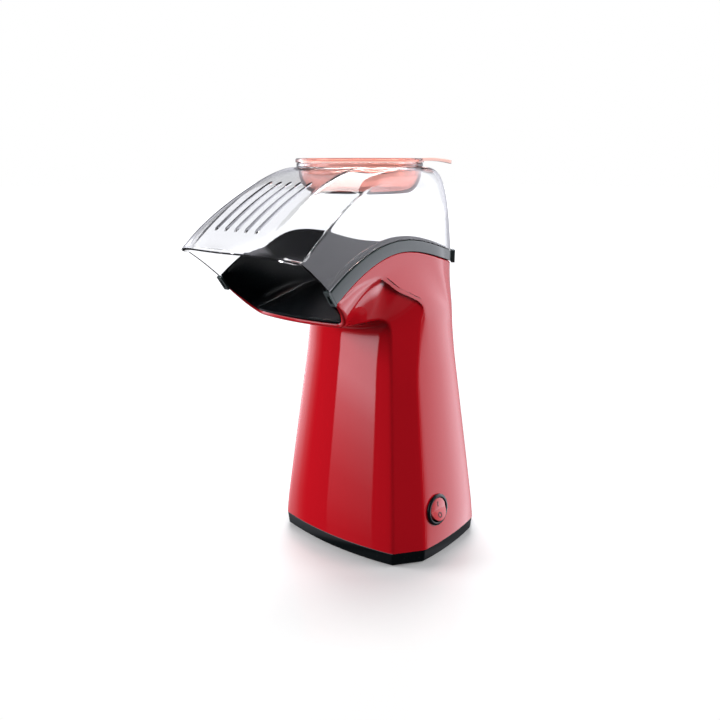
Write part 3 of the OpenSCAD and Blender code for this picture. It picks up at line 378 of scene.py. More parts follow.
def lofted(name: str, rings: Sequence[Ring]) -> Piece:
    """Makes a bar that runs through rings of points.

    Args:
        name: Name of the piece.
        rings: Rings with the same number of points, from one end to the other.

    Returns:
        The object, with its faces turned outwards.
    """
    m = len(rings[0])
    faces: list[Sequence[int]] = []
    for r in range(len(rings) - 1):
        for c in range(m):
            d = (c + 1) % m
            faces.append((r * m + c, r * m + d, (r + 1) * m + d, (r + 1) * m + c))
    faces.append(tuple(range(m - 1, -1, -1)))
    faces.append(tuple((len(rings) - 1) * m + c for c in range(m)))
    obj = new_object(name, [p for ring in rings for p in ring], faces)
    face_outwards(obj)
    return obj


def face_outwards(obj: Piece) -> None:
    """Merges the object's doubled points and turns its faces outwards."""
    bm = bmesh.new()
    bm.from_mesh(obj.data)
    bmesh.ops.remove_doubles(bm, verts=bm.verts, dist=MERGE)
    bmesh.ops.recalc_face_normals(bm, faces=bm.faces)
    bm.to_mesh(obj.data)
    bm.free()


def lathe(name: str, profile: Sequence[Point2], spot: Matrix, segments: int = 96) -> Piece:
    """Turns a closed profile round an axis.

    Args:
        name: Name of the piece.
        profile: Radius and height of each point, in millimetres; a radius of 0 lies on the axis.
        spot: Places the profile's axes in the body's, whose lengths are millimetres.
        segments: Number of sides round.

    Returns:
        The object, with its faces turned outwards.
    """
    centre, turn = spot.to_translation(), spot.to_3x3()
    points, faces = [], []
    for i in range(segments):
        a = 2 * pi * i / segments
        points += [centre + turn @ Vector((r * cos(a), r * sin(a), z)) for r, z in profile]
    m = len(profile)
    for i in range(segments):
        j = (i + 1) % segments
        for k in range(m):
            n = (k + 1) % m
            if profile[k][0] == 0 and profile[n][0] == 0:
                continue
            faces.append((i * m + k, j * m + k, j * m + n, i * m + n))
    obj = new_object(name, points, faces)
    face_outwards(obj)
    return obj


def drill(name: str, radius: float, reach: float, spot: Matrix, segments: int) -> Piece:
    """Returns a cylinder that reaches equally far to both sides of its middle."""
    return lathe(name, [(0, -reach), (radius, -reach), (radius, reach), (0, reach)], spot, segments)


def rounded(corners: Sequence[tuple[float, float, float]], bits: int = 5) -> list[Point2]:
    """Rounds the corners of a closed profile.

    Args:
        corners: Radius, height and rounding of each corner.
        bits: Number of steps round each corner.

    Returns:
        Points of the rounded profile.
    """
    out = []
    n = len(corners)
    for i, (x, y, r) in enumerate(corners):
        p = Vector((x, y))
        if r <= 0:
            out.append((x, y))
            continue
        a = Vector(corners[i - 1][:2]) - p
        b = Vector(corners[(i + 1) % n][:2]) - p
        reach = min(r, a.length * CORNER_SHARE, b.length * CORNER_SHARE)
        start, end = p + a.normalized() * reach, p + b.normalized() * reach
        for k in range(bits + 1):
            t = k / bits
            q = start * (1 - t) ** 2 + p * 2 * t * (1 - t) + end * t * t
            out.append((q.x, q.y))
    return out


def block(name: str, low: Point3, high: Point3, spot: Matrix, edge: float = 0.0) -> Piece:
    """Makes a box, with rounded edges if wanted.

    Args:
        name: Name of the piece.
        low: Lowest corner in its own axes, in millimetres.
        high: Highest corner in its own axes, in millimetres.
        spot: Places the box's axes in the body's.
        edge: Width of the rounded edges, in millimetres.

    Returns:
        The object.
    """
    bm = bmesh.new()
    bmesh.ops.create_cube(bm, size=1)
    for v in bm.verts:
        v.co = Vector([mix(low[i], high[i], v.co[i] + 0.5) for i in range(3)])
    if edge > 0:
        bmesh.ops.bevel(bm, geom=bm.edges, offset=edge, segments=3, affect="EDGES", profile=0.5)
    mesh = bpy.data.meshes.new(name)
    for v in bm.verts:
        v.co = place(spot @ v.co)
    bmesh.ops.recalc_face_normals(bm, faces=bm.faces)
    bm.to_mesh(mesh)
    bm.free()
    return linked(name, mesh)


def baked(obj: Piece) -> Piece:
    """Turns an object's modifiers into its mesh and returns the object."""
    depsgraph = bpy.context.evaluated_depsgraph_get()
    mesh = bpy.data.meshes.new_from_object(obj.evaluated_get(depsgraph), depsgraph=depsgraph)
    obj.modifiers.clear()
    old = obj.data
    obj.data = mesh
    bpy.data.meshes.remove(old)
    return obj


def cut(obj: Piece, tools: Sequence[Piece], join: bool = False) -> Piece:
    """Cuts tool meshes out of an object or joins them to it, removes them and returns the object."""
    for tool in tools:
        mod = obj.modifiers.new("cut", "BOOLEAN")
        mod.object = tool
        mod.operation = "UNION" if join else "DIFFERENCE"
        mod.solver = "EXACT"
    baked(obj)
    for tool in tools:
        bpy.data.objects.remove(tool)
    return obj


def softened(obj: Piece, width: float, angle: float = 30.0, segments: int = 2) -> Piece:
    """Rounds an object's edges that are sharper than an angle in degrees, and returns it."""
    mod = obj.modifiers.new("edges", "BEVEL")
    mod.width = width * MM
    mod.segments = segments
    mod.limit_method = "ANGLE"
    mod.angle_limit = radians(angle)
    mod.use_clamp_overlap = True
    return baked(obj)


def creased(obj: Piece, angle: float = 35.0) -> Piece:
    """Shades an object smooth apart from edges sharper than an angle in degrees."""
    mesh = obj.data
    mesh.polygons.foreach_set("use_smooth", [True] * len(mesh.polygons))
    bm = bmesh.new()
    bm.from_mesh(mesh)
    limit = radians(angle)
    for e in bm.edges:
        e.smooth = len(e.link_faces) == 2 and e.calc_face_angle(0.0) < limit
    bm.to_mesh(mesh)
    bm.free()
    return obj


# ---- the form that body, band, chute and hood share ----
@dataclass
class BodyForm:
    """Sizes of the moulded body and the surfaces that follow from them, in millimetres.

    A half section or half rim is read by a number k that runs from 0 at the front centre to
    `k_end` at the rear centre, and passes the creases at `k_front`, `k_side`, `k_rcham` and
    `k_rear`. The head's side is read by a share q, from 0 at the mouth to 1 at the rear centre.

    The guide curves run from the neck to the rim. `belly` and `crease` each hold a step up from
    the neck and the shares of the way, level and upright, at which the curve bends to the rim.
    The eave is led by points: `eave_up` has steps from the neck with a share of its rise,
    `eave_on` shares of the way on to its highest point and `eave_down` from there to the rim.
    """

    base_w: float = 142.2
    base_d: float = 120.4
    waist_w: float = 98.4
    waist_d: float = 83.4
    front_bow: float = 6.2
    side_bow: float = 2.4
    chamfer_x: float = 15.0
    chamfer_y: float = 20.2
    waist_z: float = 175.0
    skirt_z: float = 12.0
    soft_k: float = 8.0
    crease_back: float = 7.0
    crease_below: float = 35.0
    crease_run: float = 60.0
    wall: float = 2.5
    shield_gap: float = 0.7
    neck_z: float = 165.0
    lip_y: float = 95.2
    lip_rise: float = 18.8
    lip_half: float = 34.2
    lip_bow: float = 3.6
    mouth_h: float = 19.2
    mouth_lean: float = 0.7
    eave_y: float = 59.0
    eave_rise: float = 46.5
    head_w: float = 100.0
    head_rear: float = 45.5
    head_y0: float = -5.0
    head_power: float = 2.6
    arch_rise: float = 25.4
    arch_fall: float = 14.4
    arch_y: float = 42.0
    arch_power: float = 1.9
    band_h: float = 7.9
    band_grow: float = 2.5
    band_proud: float = 0.6
    strip_h: float = 11.8
    plan_split: float = 0.575
    corner_a: float = 52.0
    corner_in: float = 0.7
    q_side: float = 0.66
    q_corner: float = 0.82
    seat: float = 0.3
    belly: tuple[Point3, Point2] = ((0, 1, 13), (0.17, 0.52))
    belly_power: float = 2.2
    crease: tuple[Point3, Point2] = ((-0.4, 1.2, 25), (0.3, 0.84))
    eave_in: float = 3.5
    eave_up: tuple[Point3, ...] = ((-0.2, 1.2, 0.32), (-0.2, -1.3, 0.58))
    eave_on: tuple[Point2, ...] = ((0.34, 0.716), (0.618, 0.813), (0.873, 0.963))
    eave_down: tuple[Point2, ...] = ((0.32, 0.17), (0.642, 0.5))
    side_up: float = 0.45
    side_end: Point2 = (0.12, 0.42)
    k_front: int = 6
    k_side: int = 10
    k_mouth: int = 12
    k_rcham: int = 20
    k_rear: int = 23
    k_end: int = 27

    def __post_init__(self) -> None:
        """Works out the sizes that follow from the others."""
        self.front_x = self.base_w / 2 - self.side_bow - self.chamfer_x
        self.side_y = self.base_d / 2 - self.front_bow - self.chamfer_y
        self.head_half = self.head_w / 2
        self.lip_z = self.neck_z + self.lip_rise
        self.mouth_z = self.lip_z + self.mouth_h
        self.mouth_y = -self.lip_y - self.mouth_lean * self.mouth_h
        self.arch_top = self.mouth_z + self.arch_rise
        self.corner_x = self.head_half - self.corner_in
        self.rim_lean = self.mouth_lean + self.bow_at(self.corner_x) / self.mouth_h
        self.duct_r = self.waist_d / 2 - self.wall - self.shield_gap

    def bow_at(self, x: float) -> float:
        """Returns how far the lip's edge lies behind its middle at x."""
        return self.lip_bow * (x / self.lip_half) ** 2

    def soft(self, t: float) -> float:
        """Returns t with a rounded knee at 0."""
        return self.soft_k * log(1 + exp(t / self.soft_k))

    def taper(self, z: float, waist: float, base: float) -> float:
        """Returns the section's size at height z as a share of its size at the floor."""
        fall = self.soft(self.waist_z - z) - self.soft(self.skirt_z - z)
        fall /= self.soft(self.waist_z) - self.soft(self.skirt_z)
        return waist / base + (1 - waist / base) * fall

    def side_x(self, y: float, sx: float, sy: float) -> float:
        """Returns the bowed side's distance from the axis at y, for the shares sx and sy."""
        return (self.base_w / 2 - self.side_bow * (y / (self.side_y * sy)) ** 2) * sx

    def shares(self, z: float) -> tuple[float, float]:
        """Returns the section's width and depth at height z as shares of those at the floor."""
        return self.taper(z, self.waist_w, self.base_w), self.taper(z, self.waist_d, self.base_d)

    def side_at(self, y: float, z: float) -> float:
        """Returns the side face's distance from the axis at y and height z."""
        return self.side_x(y, *self.shares(z))

    def rear_at(self, z: float) -> float:
        """Returns the rear face's distance from the axis at height z."""
        return self.base_d / 2 * self.shares(z)[1]

    def section(self, k: float, z: float) -> Vector:
        """Returns point k of the tapered body's half section at height z."""
        sx, sy = self.shares(z)
        back = self.crease_back * smooth((z - self.neck_z + self.crease_below) / self.crease_run)
        yf, yr = self.side_y * sy - back, self.side_y * sy
        y_face = (self.base_d / 2 - self.front_bow) * sy
        if k <= self.k_front:
            t = k / self.k_front
            return Vector((self.front_x * sx * t, -(self.base_d / 2 - self.front_bow * t * t) * sy, z))
        if k <= self.k_side:
            t = (k - self.k_front) / (self.k_side - self.k_front)
            return Vector((mix(self.front_x * sx, self.side_x(yf, sx, sy), t), mix(-y_face, -yf, t), z))
        if k <= self.k_rcham:
            y = mix(-yf, yr, (k - self.k_side) / (self.k_rcham - self.k_side))
            return Vector((self.side_x(y, sx, sy), y, z))
        if k <= self.k_rear:
            t = (k - self.k_rcham) / (self.k_rear - self.k_rcham)
            return Vector((mix(self.side_x(yr, sx, sy), self.front_x * sx, t), mix(yr, y_face, t), z))
        t = (self.k_end - k) / (self.k_end - self.k_rear)
        return Vector((self.front_x * sx * t, (self.base_d / 2 - self.front_bow * t * t) * sy, z))

    def front_part(self, y: float) -> float:
        """Returns 0 at the arch's crest and behind it, rising to 1 at the mouth."""
        return max(0.0, (-self.arch_y - y) / (-self.arch_y - self.mouth_y))

    def arch(self, y: float) -> float:
        """Returns the height of the joint between body and band at y."""
        if y < -self.arch_y:
            return self.arch_top - self.arch_rise * self.front_part(y) ** self.arch_power
        turn = pi * min(1.0, (y + self.arch_y) / (self.head_rear + self.arch_y))
        return self.arch_top - self.arch_fall * (1 - cos(turn)) / 2

    def band_height(self, y: float) -> float:
        """Returns the band's height at y."""
        return self.band_h + self.band_grow * self.front_part(y)

    def plan(self, q: float, off: float = 0.0) -> tuple[float, float]:
        """Returns x and y of the head's side, q running from 0 at the mouth to 1 at the rear."""
        if q < self.plan_split:
            return self.head_half + off, mix(self.mouth_y, self.head_y0, q / self.plan_split)
        return self.round_rear(q, off, off)

    def round_rear(self, q: float, off_x: float, off_y: float) -> tuple[float, float]:
        """Returns x and y of the head's round rear at q, set out by off_x and off_y."""
        a = radians(90 * (q - self.plan_split) / (1 - self.plan_split))
        power = 2 / self.head_power
        return ((self.head_half + off_x) * abs(cos(a)) ** power,
                self.head_y0 + (self.head_rear - self.head_y0 + off_y) * sin(a) ** power)

    def head_point(self, q: float, off: float, h: float) -> Vector:
        """Returns the point off outside the head's side at q and h above the arch."""
        x, y_off = self.plan(q, off)
        y = self.plan(q)[1]
        if y < -self.arch_y:
            slope = atan(self.arch(y + 0.5) - self.arch(y - 0.5))
            return Vector((x, y - h * sin(slope), self.arch(y) + h * cos(slope)))
        return Vector((x, y_off, self.arch(y) + h))

    def lip(self, x: float, z: float) -> Vector:
        """Returns the point x, z of the mouth's bowed and leaning surface."""
        return Vector((x, self.bow_at(x) - self.lip_y - self.rim_lean * (z - self.lip_z), z))

    def corner(self, k: float, off: float = 0.0) -> Vector:
        """Returns a point of the mouth's side, a quarter of an ellipse, off inside it."""
        if k <= self.k_side:
            a = radians(self.corner_a * (k - self.k_front) / (self.k_side - self.k_front))
        else:
            a = radians(mix(self.corner_a, 90, (k - self.k_side) / (self.k_mouth - self.k_side)))
        z = self.mouth_z - (self.mouth_h - off) * cos(a)
        p = self.lip(mix(self.lip_half, self.corner_x, sin(a)), z)
        return p - Vector((off * sin(a), 0, 0))

    def rim_q(self, k: float) -> float:
        """Returns the place along the head's side of rim point k."""
        if k <= self.k_rcham:
            return self.q_side * (k - self.k_mouth) / (self.k_rcham - self.k_mouth)
        if k <= self.k_rear:
            return mix(self.q_side, self.q_corner, (k - self.k_rcham) / (self.k_rear - self.k_rcham))
        return mix(self.q_corner, 1.0, (k - self.k_rear) / (self.k_end - self.k_rear))

    def rim(self, k: float) -> Vector:
        """Returns point k of the body's upper edge: lip, mouth's side and arch."""
        if k <= self.k_front:
            return self.lip(self.lip_half * k / self.k_front, self.lip_z)
        if k <= self.k_mouth:
            return self.corner(k)
        return self.head_point(self.rim_q(k), 0, 0)

    def guide(self, k: int, t: float) -> Vector:
        """Returns the point t up the guide curve that starts at crease k of the neck."""
        a, r = self.section(k, self.neck_z), self.rim(k)
        if k in (0, self.k_front):
            step, bend = self.belly if k == 0 else self.crease
            return bezier(a, a + Vector(step), part_way(a, r, *bend), r, t)
        if k == self.k_side:
            e = Vector((self.head_half - self.eave_in, -self.eave_y, self.neck_z + self.eave_rise))
            up = [a + Vector((x, y, share * self.eave_rise)) for x, y, share in self.eave_up]
            on = [part_way(a, e, *bend) for bend in self.eave_on]
            down = [part_way(e, r, *bend) for bend in self.eave_down]
            return through([a, *up, *on, e, *down, r], t)
        d = r - a
        level, upright = self.side_end
        end = r - Vector((level * d.x, level * d.y, upright * d.z))
        return bezier(a, a + Vector((0, 0, self.side_up * d.z)), end, r, t)

    def upper(self, k: float, t: float) -> Vector:
        """Returns the point t of the way from the neck to the rim, at place k round the body."""
        marks = (0, self.k_front, self.k_side, self.k_rcham, self.k_rear, self.k_end)
        i = min(len(marks) - 2, sum(k > m for m in marks[1:]))
        ka, kb = marks[i], marks[i + 1]
        u = (k - ka) / (kb - ka)
        w = u ** self.belly_power if i == 0 else u

        def blend(a: Vector, b: Vector) -> Vector:
            """Returns a point between two guides, later in y where the front face bows."""
            return Vector((mix(a.x, b.x, u), mix(a.y, b.y, w), mix(a.z, b.z, w)))

        foot, foot_a, foot_b = (self.section(place_k, self.neck_z) for place_k in (k, ka, kb))
        neck = foot - blend(foot_a, foot_b)
        rim = self.rim(k) - blend(self.rim(ka), self.rim(kb))
        return blend(self.guide(ka, t), self.guide(kb, t)) + neck * (1 - t) + rim * t


def part_way(a: Vector, b: Vector, ty: float, tz: float) -> Vector:
    """Returns a point between two others, with its own share of the way up."""
    return Vector((mix(a.x, b.x, ty), mix(a.y, b.y, ty), mix(a.z, b.z, tz)))


FORM = BodyForm()


# ---- shared shader groups ----
class Graph:
    """A small writer for shader and geometry node trees."""

    def __init__(self, tree: bpy.types.NodeTree) -> None:
        """Keeps the tree that is written."""
        self.tree = tree

    def add(self, kind: str, inputs: dict | None = None, **settings: object) -> Node:
        """Adds a node.

        Args:
            kind: Type of the node.
            inputs: Name or number of each input to its value or to an output socket.
            settings: Properties of the node.

        Returns:
            The node.
        """
        node = self.tree.nodes.new(kind)
        for key, value in settings.items():
            setattr(node, key, value)
        self.fill(node, inputs or {})
        return node

    def fill(self, node: Node, inputs: dict) -> None:
        """Gives each named or numbered input of a node a value or a link from an output socket."""
        for key, value in inputs.items():
            if isinstance(value, Socket):
                self.tree.links.new(value, node.inputs[key])
            else:
                node.inputs[key].default_value = value

    def math(self, operation: str, a: object, b: object = 0.0, c: object = 0.0) -> Socket:
        """Returns the result of a Math node with the inputs a, b and c."""
        return self.add("ShaderNodeMath", {0: a, 1: b, 2: c}, operation=operation).outputs[0]

    def noise(self, coords: Socket, **inputs: object) -> Socket:
        """Returns a noise level over the coordinates; inputs are the noise's own, such as Scale."""
        return self.add("ShaderNodeTexNoise", {"Vector": coords, **inputs}).outputs[0]

    def climb(self, value: Socket, low: float, high: float, top: float) -> Socket:
        """Returns a level that climbs from 0 to top while the value goes from low to high."""
        return self.add("ShaderNodeMapRange", {0: value, 1: low, 2: high, 3: 0.0, 4: top}).outputs[0]

    def ramp(self, value: Socket, stops: Stops) -> Socket:
        """Writes a level that runs straight from stop to stop.

        Args:
            value: What the level follows.
            stops: Value and level of each stop, in rising order of value.

        Returns:
            The level.
        """
        total: object = stops[0][1]
        for (v0, l0), (v1, l1) in zip(stops, stops[1:]):
            if l0 != l1:
                total = self.math("ADD", total, self.climb(value, v0, v1, l1 - l0))
        return total


def group(name: str, inputs: dict[str, float], outputs: Sequence[str],
          write: Callable[[Graph, Node, Node], None]) -> bpy.types.NodeTree:
    """Builds a shader node group whose inputs and outputs are numbers.

    Args:
        name: Name of the group.
        inputs: Name of each input to its first value.
        outputs: Name of each output.
        write: Adds the nodes between the group's input and output nodes.

    Returns:
        The group.
    """
    tree = bpy.data.node_groups.new(name, "ShaderNodeTree")
    for key, value in inputs.items():
        socket = tree.interface.new_socket(key, in_out="INPUT", socket_type="NodeSocketFloat")
        socket.default_value = value
    for key in outputs:
        tree.interface.new_socket(key, in_out="OUTPUT", socket_type="NodeSocketFloat")
    graph = Graph(tree)
    write(graph, graph.add("NodeGroupInput"), graph.add("NodeGroupOutput"))
    return tree


def write_moulded(g: Graph, start: Node, end: Node) -> None:
    """Writes the slight waviness and fine grain of a moulded surface."""
    coords = g.add("ShaderNodeTexCoord").outputs["Object"]
    wave = g.noise(coords, Scale=start.outputs["Wave Scale"], Detail=2.0)
    grain = g.noise(coords, Scale=start.outputs["Grain Scale"], Detail=3.0)
    waves = g.math("MULTIPLY", wave, start.outputs["Wave"])
    grains = g.math("MULTIPLY", grain, start.outputs["Grain"])
    g.fill(end, {"Height": g.math("ADD", waves, grains)})


def write_handled(g: Graph, start: Node, end: Node) -> None:
    """Writes the uneven polish of a handled surface: faint smears and small specks."""
    coords = g.add("ShaderNodeTexCoord").outputs["Object"]
    smear = g.noise(coords, Scale=22.0, Detail=4.0, Roughness=0.6)
    speck = g.noise(coords, Scale=900.0, Detail=1.0)
    dots = g.climb(speck, 0.7, 0.76, 1.0)
    spread = g.math("MULTIPLY", g.math("SUBTRACT", smear, 0.5), start.outputs["Smear"])
    rough = g.math("ADD", start.outputs["Roughness"], spread)
    g.fill(end, {"Roughness": g.math("MAXIMUM", rough, LEAST_ROUGHNESS),
                 "Mask": g.math("MULTIPLY", dots, start.outputs["Specks"])})


def write_drawn(g: Graph, start: Node, end: Node) -> None:
    """Writes the fine lines that drawing, spinning or winding leaves round the +Z axis."""
    coords = g.add("ShaderNodeTexCoord").outputs["Object"]
    parts = g.add("ShaderNodeSeparateXYZ", {0: coords})
    scales = (12.0, 12.0, start.outputs["Lines"])
    lines = g.add("ShaderNodeCombineXYZ", {
        i: g.math("MULTIPLY", parts.outputs[i], scale) for i, scale in enumerate(scales)})
    noise = g.noise(lines.outputs[0], Scale=1.0, Detail=4.0)
    spread = g.math("MULTIPLY", g.math("SUBTRACT", noise, 0.5), 0.3)
    g.fill(end, {"Height": noise, "Roughness": g.math("ADD", start.outputs["Roughness"], spread)})


MOULDED = group("moulded_surface", {"Wave Scale": 60.0, "Wave": 1.0, "Grain Scale": 900.0, "Grain": 0.3},
                ("Height",), write_moulded)
HANDLED = group("handled_polish", {"Roughness": 0.2, "Smear": 0.06, "Specks": 0.5}, ("Roughness", "Mask"),
                write_handled)
DRAWN = group("drawn_metal", {"Lines": 4000.0, "Roughness": 0.3}, ("Height", "Roughness"), write_drawn)


# ---- finishes ----
def principled(name: str) -> tuple[bpy.types.Material, Graph, Node]:
    """Returns a new material, a writer of its nodes and its shader."""
    mat = bpy.data.materials.new(name)
    mat.use_nodes = True
    graph = Graph(mat.node_tree)
    return mat, graph, next(n for n in mat.node_tree.nodes if n.type == "BSDF_PRINCIPLED")


def tinted(g: Graph, colour: Colour, other: Colour, mask: Socket) -> Socket:
    """Returns a colour that goes from one to another by a mask."""
    node = g.add("ShaderNodeMix", {0: mask, 6: (*colour, 1), 7: (*other, 1)}, data_type="RGBA")
    return node.outputs[2]


def moulded(g: Graph, shader: Node, relief: float, surface: dict[str, float],
            polish: dict[str, float]) -> Node:
    """Gives a shader the relief and the polish of a moulded surface.

    Args:
        g: Writer of the material's nodes.
        shader: The material's shader.
        relief: Strength of the relief.
        surface: Inputs of the group that writes the waviness and the grain.
        polish: Inputs of the group that writes the smears and the specks.

    Returns:
        The polish's node, whose mask marks the specks.
    """
    form = g.add("ShaderNodeGroup", surface, node_tree=MOULDED)
    touch = g.add("ShaderNodeGroup", polish, node_tree=HANDLED)
    bump = g.add("ShaderNodeBump", {"Height": form.outputs["Height"], "Strength": relief, "Distance": MM})
    g.fill(shader, {"Normal": bump.outputs[0], "Roughness": touch.outputs["Roughness"]})
    return touch


@dataclass(frozen=True)
class Plastic:
    """An opaque moulded plastic, glossy or with a fine grain."""

    name: str
    colour: Colour
    roughness: float = 0.25
    coat: float = 0.0
    coat_roughness: float = 0.03
    wave: float = 0.4
    grain: float = 0.2
    grain_scale: float = 900.0
    relief: float = 0.02
    specular: float = 0.5
    smear: float = 0.25
    dust: Colour = (0.4, 0.4, 0.4)
    specks: float = 0.15

    def material(self) -> bpy.types.Material:
        """Returns the material of this finish."""
        mat, g, shader = principled(self.name)
        surface = {"Wave": self.wave, "Grain": self.grain, "Grain Scale": self.grain_scale}
        smear = self.smear * self.roughness
        polish = moulded(g, shader, self.relief, surface,
                         {"Roughness": self.roughness, "Smear": smear, "Specks": self.specks})
        g.fill(shader, {"Base Color": tinted(g, self.colour, self.dust, polish.outputs["Mask"]),
                        "Coat Weight": self.coat, "Coat Roughness": self.coat_roughness,
                        "Specular IOR Level": self.specular})
        return mat


@dataclass(frozen=True)
class ClearPlastic:
    """A transparent moulded plastic."""

    name: str
    colour: Colour
    ior: float
    roughness: float = 0.01
    wave: float = 0.5
    grain: float = 0.05
    smear: float = 0.03
    relief: float = 0.03

    def material(self) -> bpy.types.Material:
        """Returns the material of this finish."""
        mat, g, shader = principled(self.name)
        moulded(g, shader, self.relief, {"Wave": self.wave, "Grain": self.grain},
                {"Roughness": self.roughness, "Smear": self.smear})
        g.fill(shader, {"Base Color": (*self.colour, 1), "Metallic": 0.0, "Transmission Weight": 1.0,
                        "IOR": self.ior})
        return mat


@dataclass(frozen=True)
class Metal:
    """A bare metal with fine drawn or turned lines."""

    name: str
    colour: Colour
    roughness: float = 0.3
    lines: float = 4000.0
    relief: float = 0.05
    stain: Colour = (0.2, 0.18, 0.16)

    def material(self) -> bpy.types.Material:
        """Returns the material of this finish."""
        mat, g, shader = principled(self.name)
        drawn = g.add("ShaderNodeGroup", {"Lines": self.lines, "Roughness": self.roughness}, node_tree=DRAWN)
        cloud = g.noise(g.add("ShaderNodeTexCoord").outputs["Object"], Scale=45.0, Detail=5.0)
        mask = g.climb(cloud, 0.5, 0.9, 0.6)
        bump = g.add("ShaderNodeBump", {
            "Height": drawn.outputs["Height"], "Strength": self.relief, "Distance": 0.5 * MM})
        g.fill(shader, {"Base Color": tinted(g, self.colour, self.stain, mask), "Normal": bump.outputs[0],
                        "Roughness": drawn.outputs["Roughness"], "Metallic": 1.0})
        return mat


FINISHES: dict[Slot, Plastic | ClearPlastic | Metal] = {
    Slot.RED: Plastic("gloss_red", (0.72, 0.008, 0.018), roughness=0.4, coat=1.0, coat_roughness=0.02,
                      wave=0.3, grain=0.0, relief=0.01, specular=0.0, dust=(0.6, 0.1, 0.1), specks=0.06),
    Slot.TRIM: Plastic("gloss_dark_grey", (0.042, 0.058, 0.058), roughness=0.2, coat=0.3, grain=0.1,
                       relief=0.015, specular=0.3),
    Slot.BLACK: Plastic("satin_black", (0.003, 0.004, 0.005), grain=0.4, specular=0.04, specks=0.04),
    Slot.BLACK_GLOSS: Plastic("gloss_black", (0.004, 0.006, 0.007), roughness=0.14, grain=0.1,
                              relief=0.015, specular=0.4, specks=0.05),
    Slot.CLEAR: ClearPlastic("clear_hood_plastic", (0.905, 0.91, 0.918), ior=1.42),
    Slot.CUP: ClearPlastic("clear_red_plastic", (0.955, 0.60, 0.54), ior=1.22),
    Slot.FEET: Plastic("foot_rubber", (0.018, 0.018, 0.018), roughness=0.75, grain=1.0, relief=0.15,
                       specular=0.3),
    Slot.SCREW: Metal("plated_steel", (0.62, 0.62, 0.63)),
    Slot.STEEL: Metal("dull_steel", (0.48, 0.48, 0.49), roughness=0.42, lines=2500.0),
    Slot.ROCKER: Plastic("rocker_red", (0.72, 0.055, 0.065), roughness=0.2, coat=0.5, grain=0.1),
    Slot.BRASS: Metal("dull_brass", (0.66, 0.47, 0.2), roughness=0.35),
    Slot.CREAM: Plastic("cream_ceramic", (0.62, 0.56, 0.42), roughness=0.5, grain=0.8, relief=0.08),
    Slot.ALUMINIUM: Metal("spun_aluminium", (0.76, 0.77, 0.79), roughness=0.26, lines=3000.0, relief=0.08),
    Slot.MICA: Plastic("mica_board", (0.48, 0.40, 0.26), roughness=0.55, grain=1.2, grain_scale=300.0,
                       relief=0.1),
    Slot.WIRE: Metal("heater_wire", (0.26, 0.23, 0.21), roughness=0.45),
    Slot.MAGNET: Plastic("ferrite", (0.03, 0.03, 0.034), roughness=0.6, grain=1.0, relief=0.1),
    Slot.CORE: Metal("laminated_core", (0.30, 0.24, 0.19), roughness=0.5, lines=9000.0, relief=0.2),
    Slot.BOARD: Plastic("circuit_board", (0.03, 0.13, 0.06), roughness=0.4, coat=0.3, grain=0.5, relief=0.04),
}


class Paints:
    """Makes each finish once and hands it out by slot."""

    def __init__(self) -> None:
        """Starts with no material made."""
        self.made: dict[Slot, bpy.types.Material] = {}

    def get(self, slot: Slot) -> bpy.types.Material:
        """Returns the material of a slot."""
        if slot not in self.made:
            self.made[slot] = FINISHES[slot].material()
        return self.made[slot]

    def coat(self, obj: Piece, slot: Slot) -> None:
        """Gives an object one material all over."""
        obj.data.materials.clear()
        obj.data.materials.append(self.get(slot))
        obj.data.polygons.foreach_set("material_index", [0] * len(obj.data.polygons))


PAINTS = Paints()


def keep(obj: Piece, body: Body, slot: Slot, *nodes: str) -> Piece:
    """Finishes a piece: paints it with its slot's finish, hangs it on its body and hides the frame nodes that
    it stands for.

    Args:
        obj: The piece, whole and in place.
        body: The body that it rides on.
        slot: The material slot that it takes its finish from.
        nodes: Frame nodes that it stands for.

    Returns:
        The piece.
    """
    PAINTS.coat(obj, slot)
    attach(obj, body.value)
    if nodes:
        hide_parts(*nodes)
    LOG.info("%s: %d faces on %s", obj.name, len(obj.data.polygons), body.value)
    return obj


# ---- repeated things, made with Geometry Nodes ----
class Recipe:
    """A Geometry Nodes tree with named inputs, whose result is baked into a plain mesh."""

    def __init__(self, name: str, inputs: dict[str, str]) -> None:
        """Starts the tree; inputs holds each input's name and kind besides geometry and finish."""
        self.tree = bpy.data.node_groups.new(name, "GeometryNodeTree")
        face = self.tree.interface
        face.new_socket("Geometry", in_out="INPUT", socket_type="NodeSocketGeometry")
        self.ids: dict[str, str] = {}
        for key, kind in {**inputs, "Finish": "Material"}.items():
            socket = face.new_socket(key, in_out="INPUT", socket_type=f"NodeSocket{kind}")
            self.ids[key] = socket.identifier
        face.new_socket("Geometry", in_out="OUTPUT", socket_type="NodeSocketGeometry")
        self.g = Graph(self.tree)
        self.start, self.end = self.g.add("NodeGroupInput"), self.g.add("NodeGroupOutput")

    def close(self, shape: Socket) -> None:
        """Ends the tree: the shape is made real and takes the finish."""
        real = self.g.add("GeometryNodeRealizeInstances", {"Geometry": shape})
        paint = self.g.add("GeometryNodeSetMaterial", {
            "Geometry": real.outputs["Geometry"], "Material": self.start.outputs["Finish"]})
        self.g.fill(self.end, {0: paint.outputs["Geometry"]})

    def bake(self, obj: Piece, values: dict[str, object]) -> Piece:
        """Runs the tree on an object with a value for each named input and bakes the result."""
        mod = obj.modifiers.new(self.tree.name, "NODES")
        mod.node_group = self.tree
        for key, value in values.items():
            mod[self.ids[key]] = value
        return baked(obj)


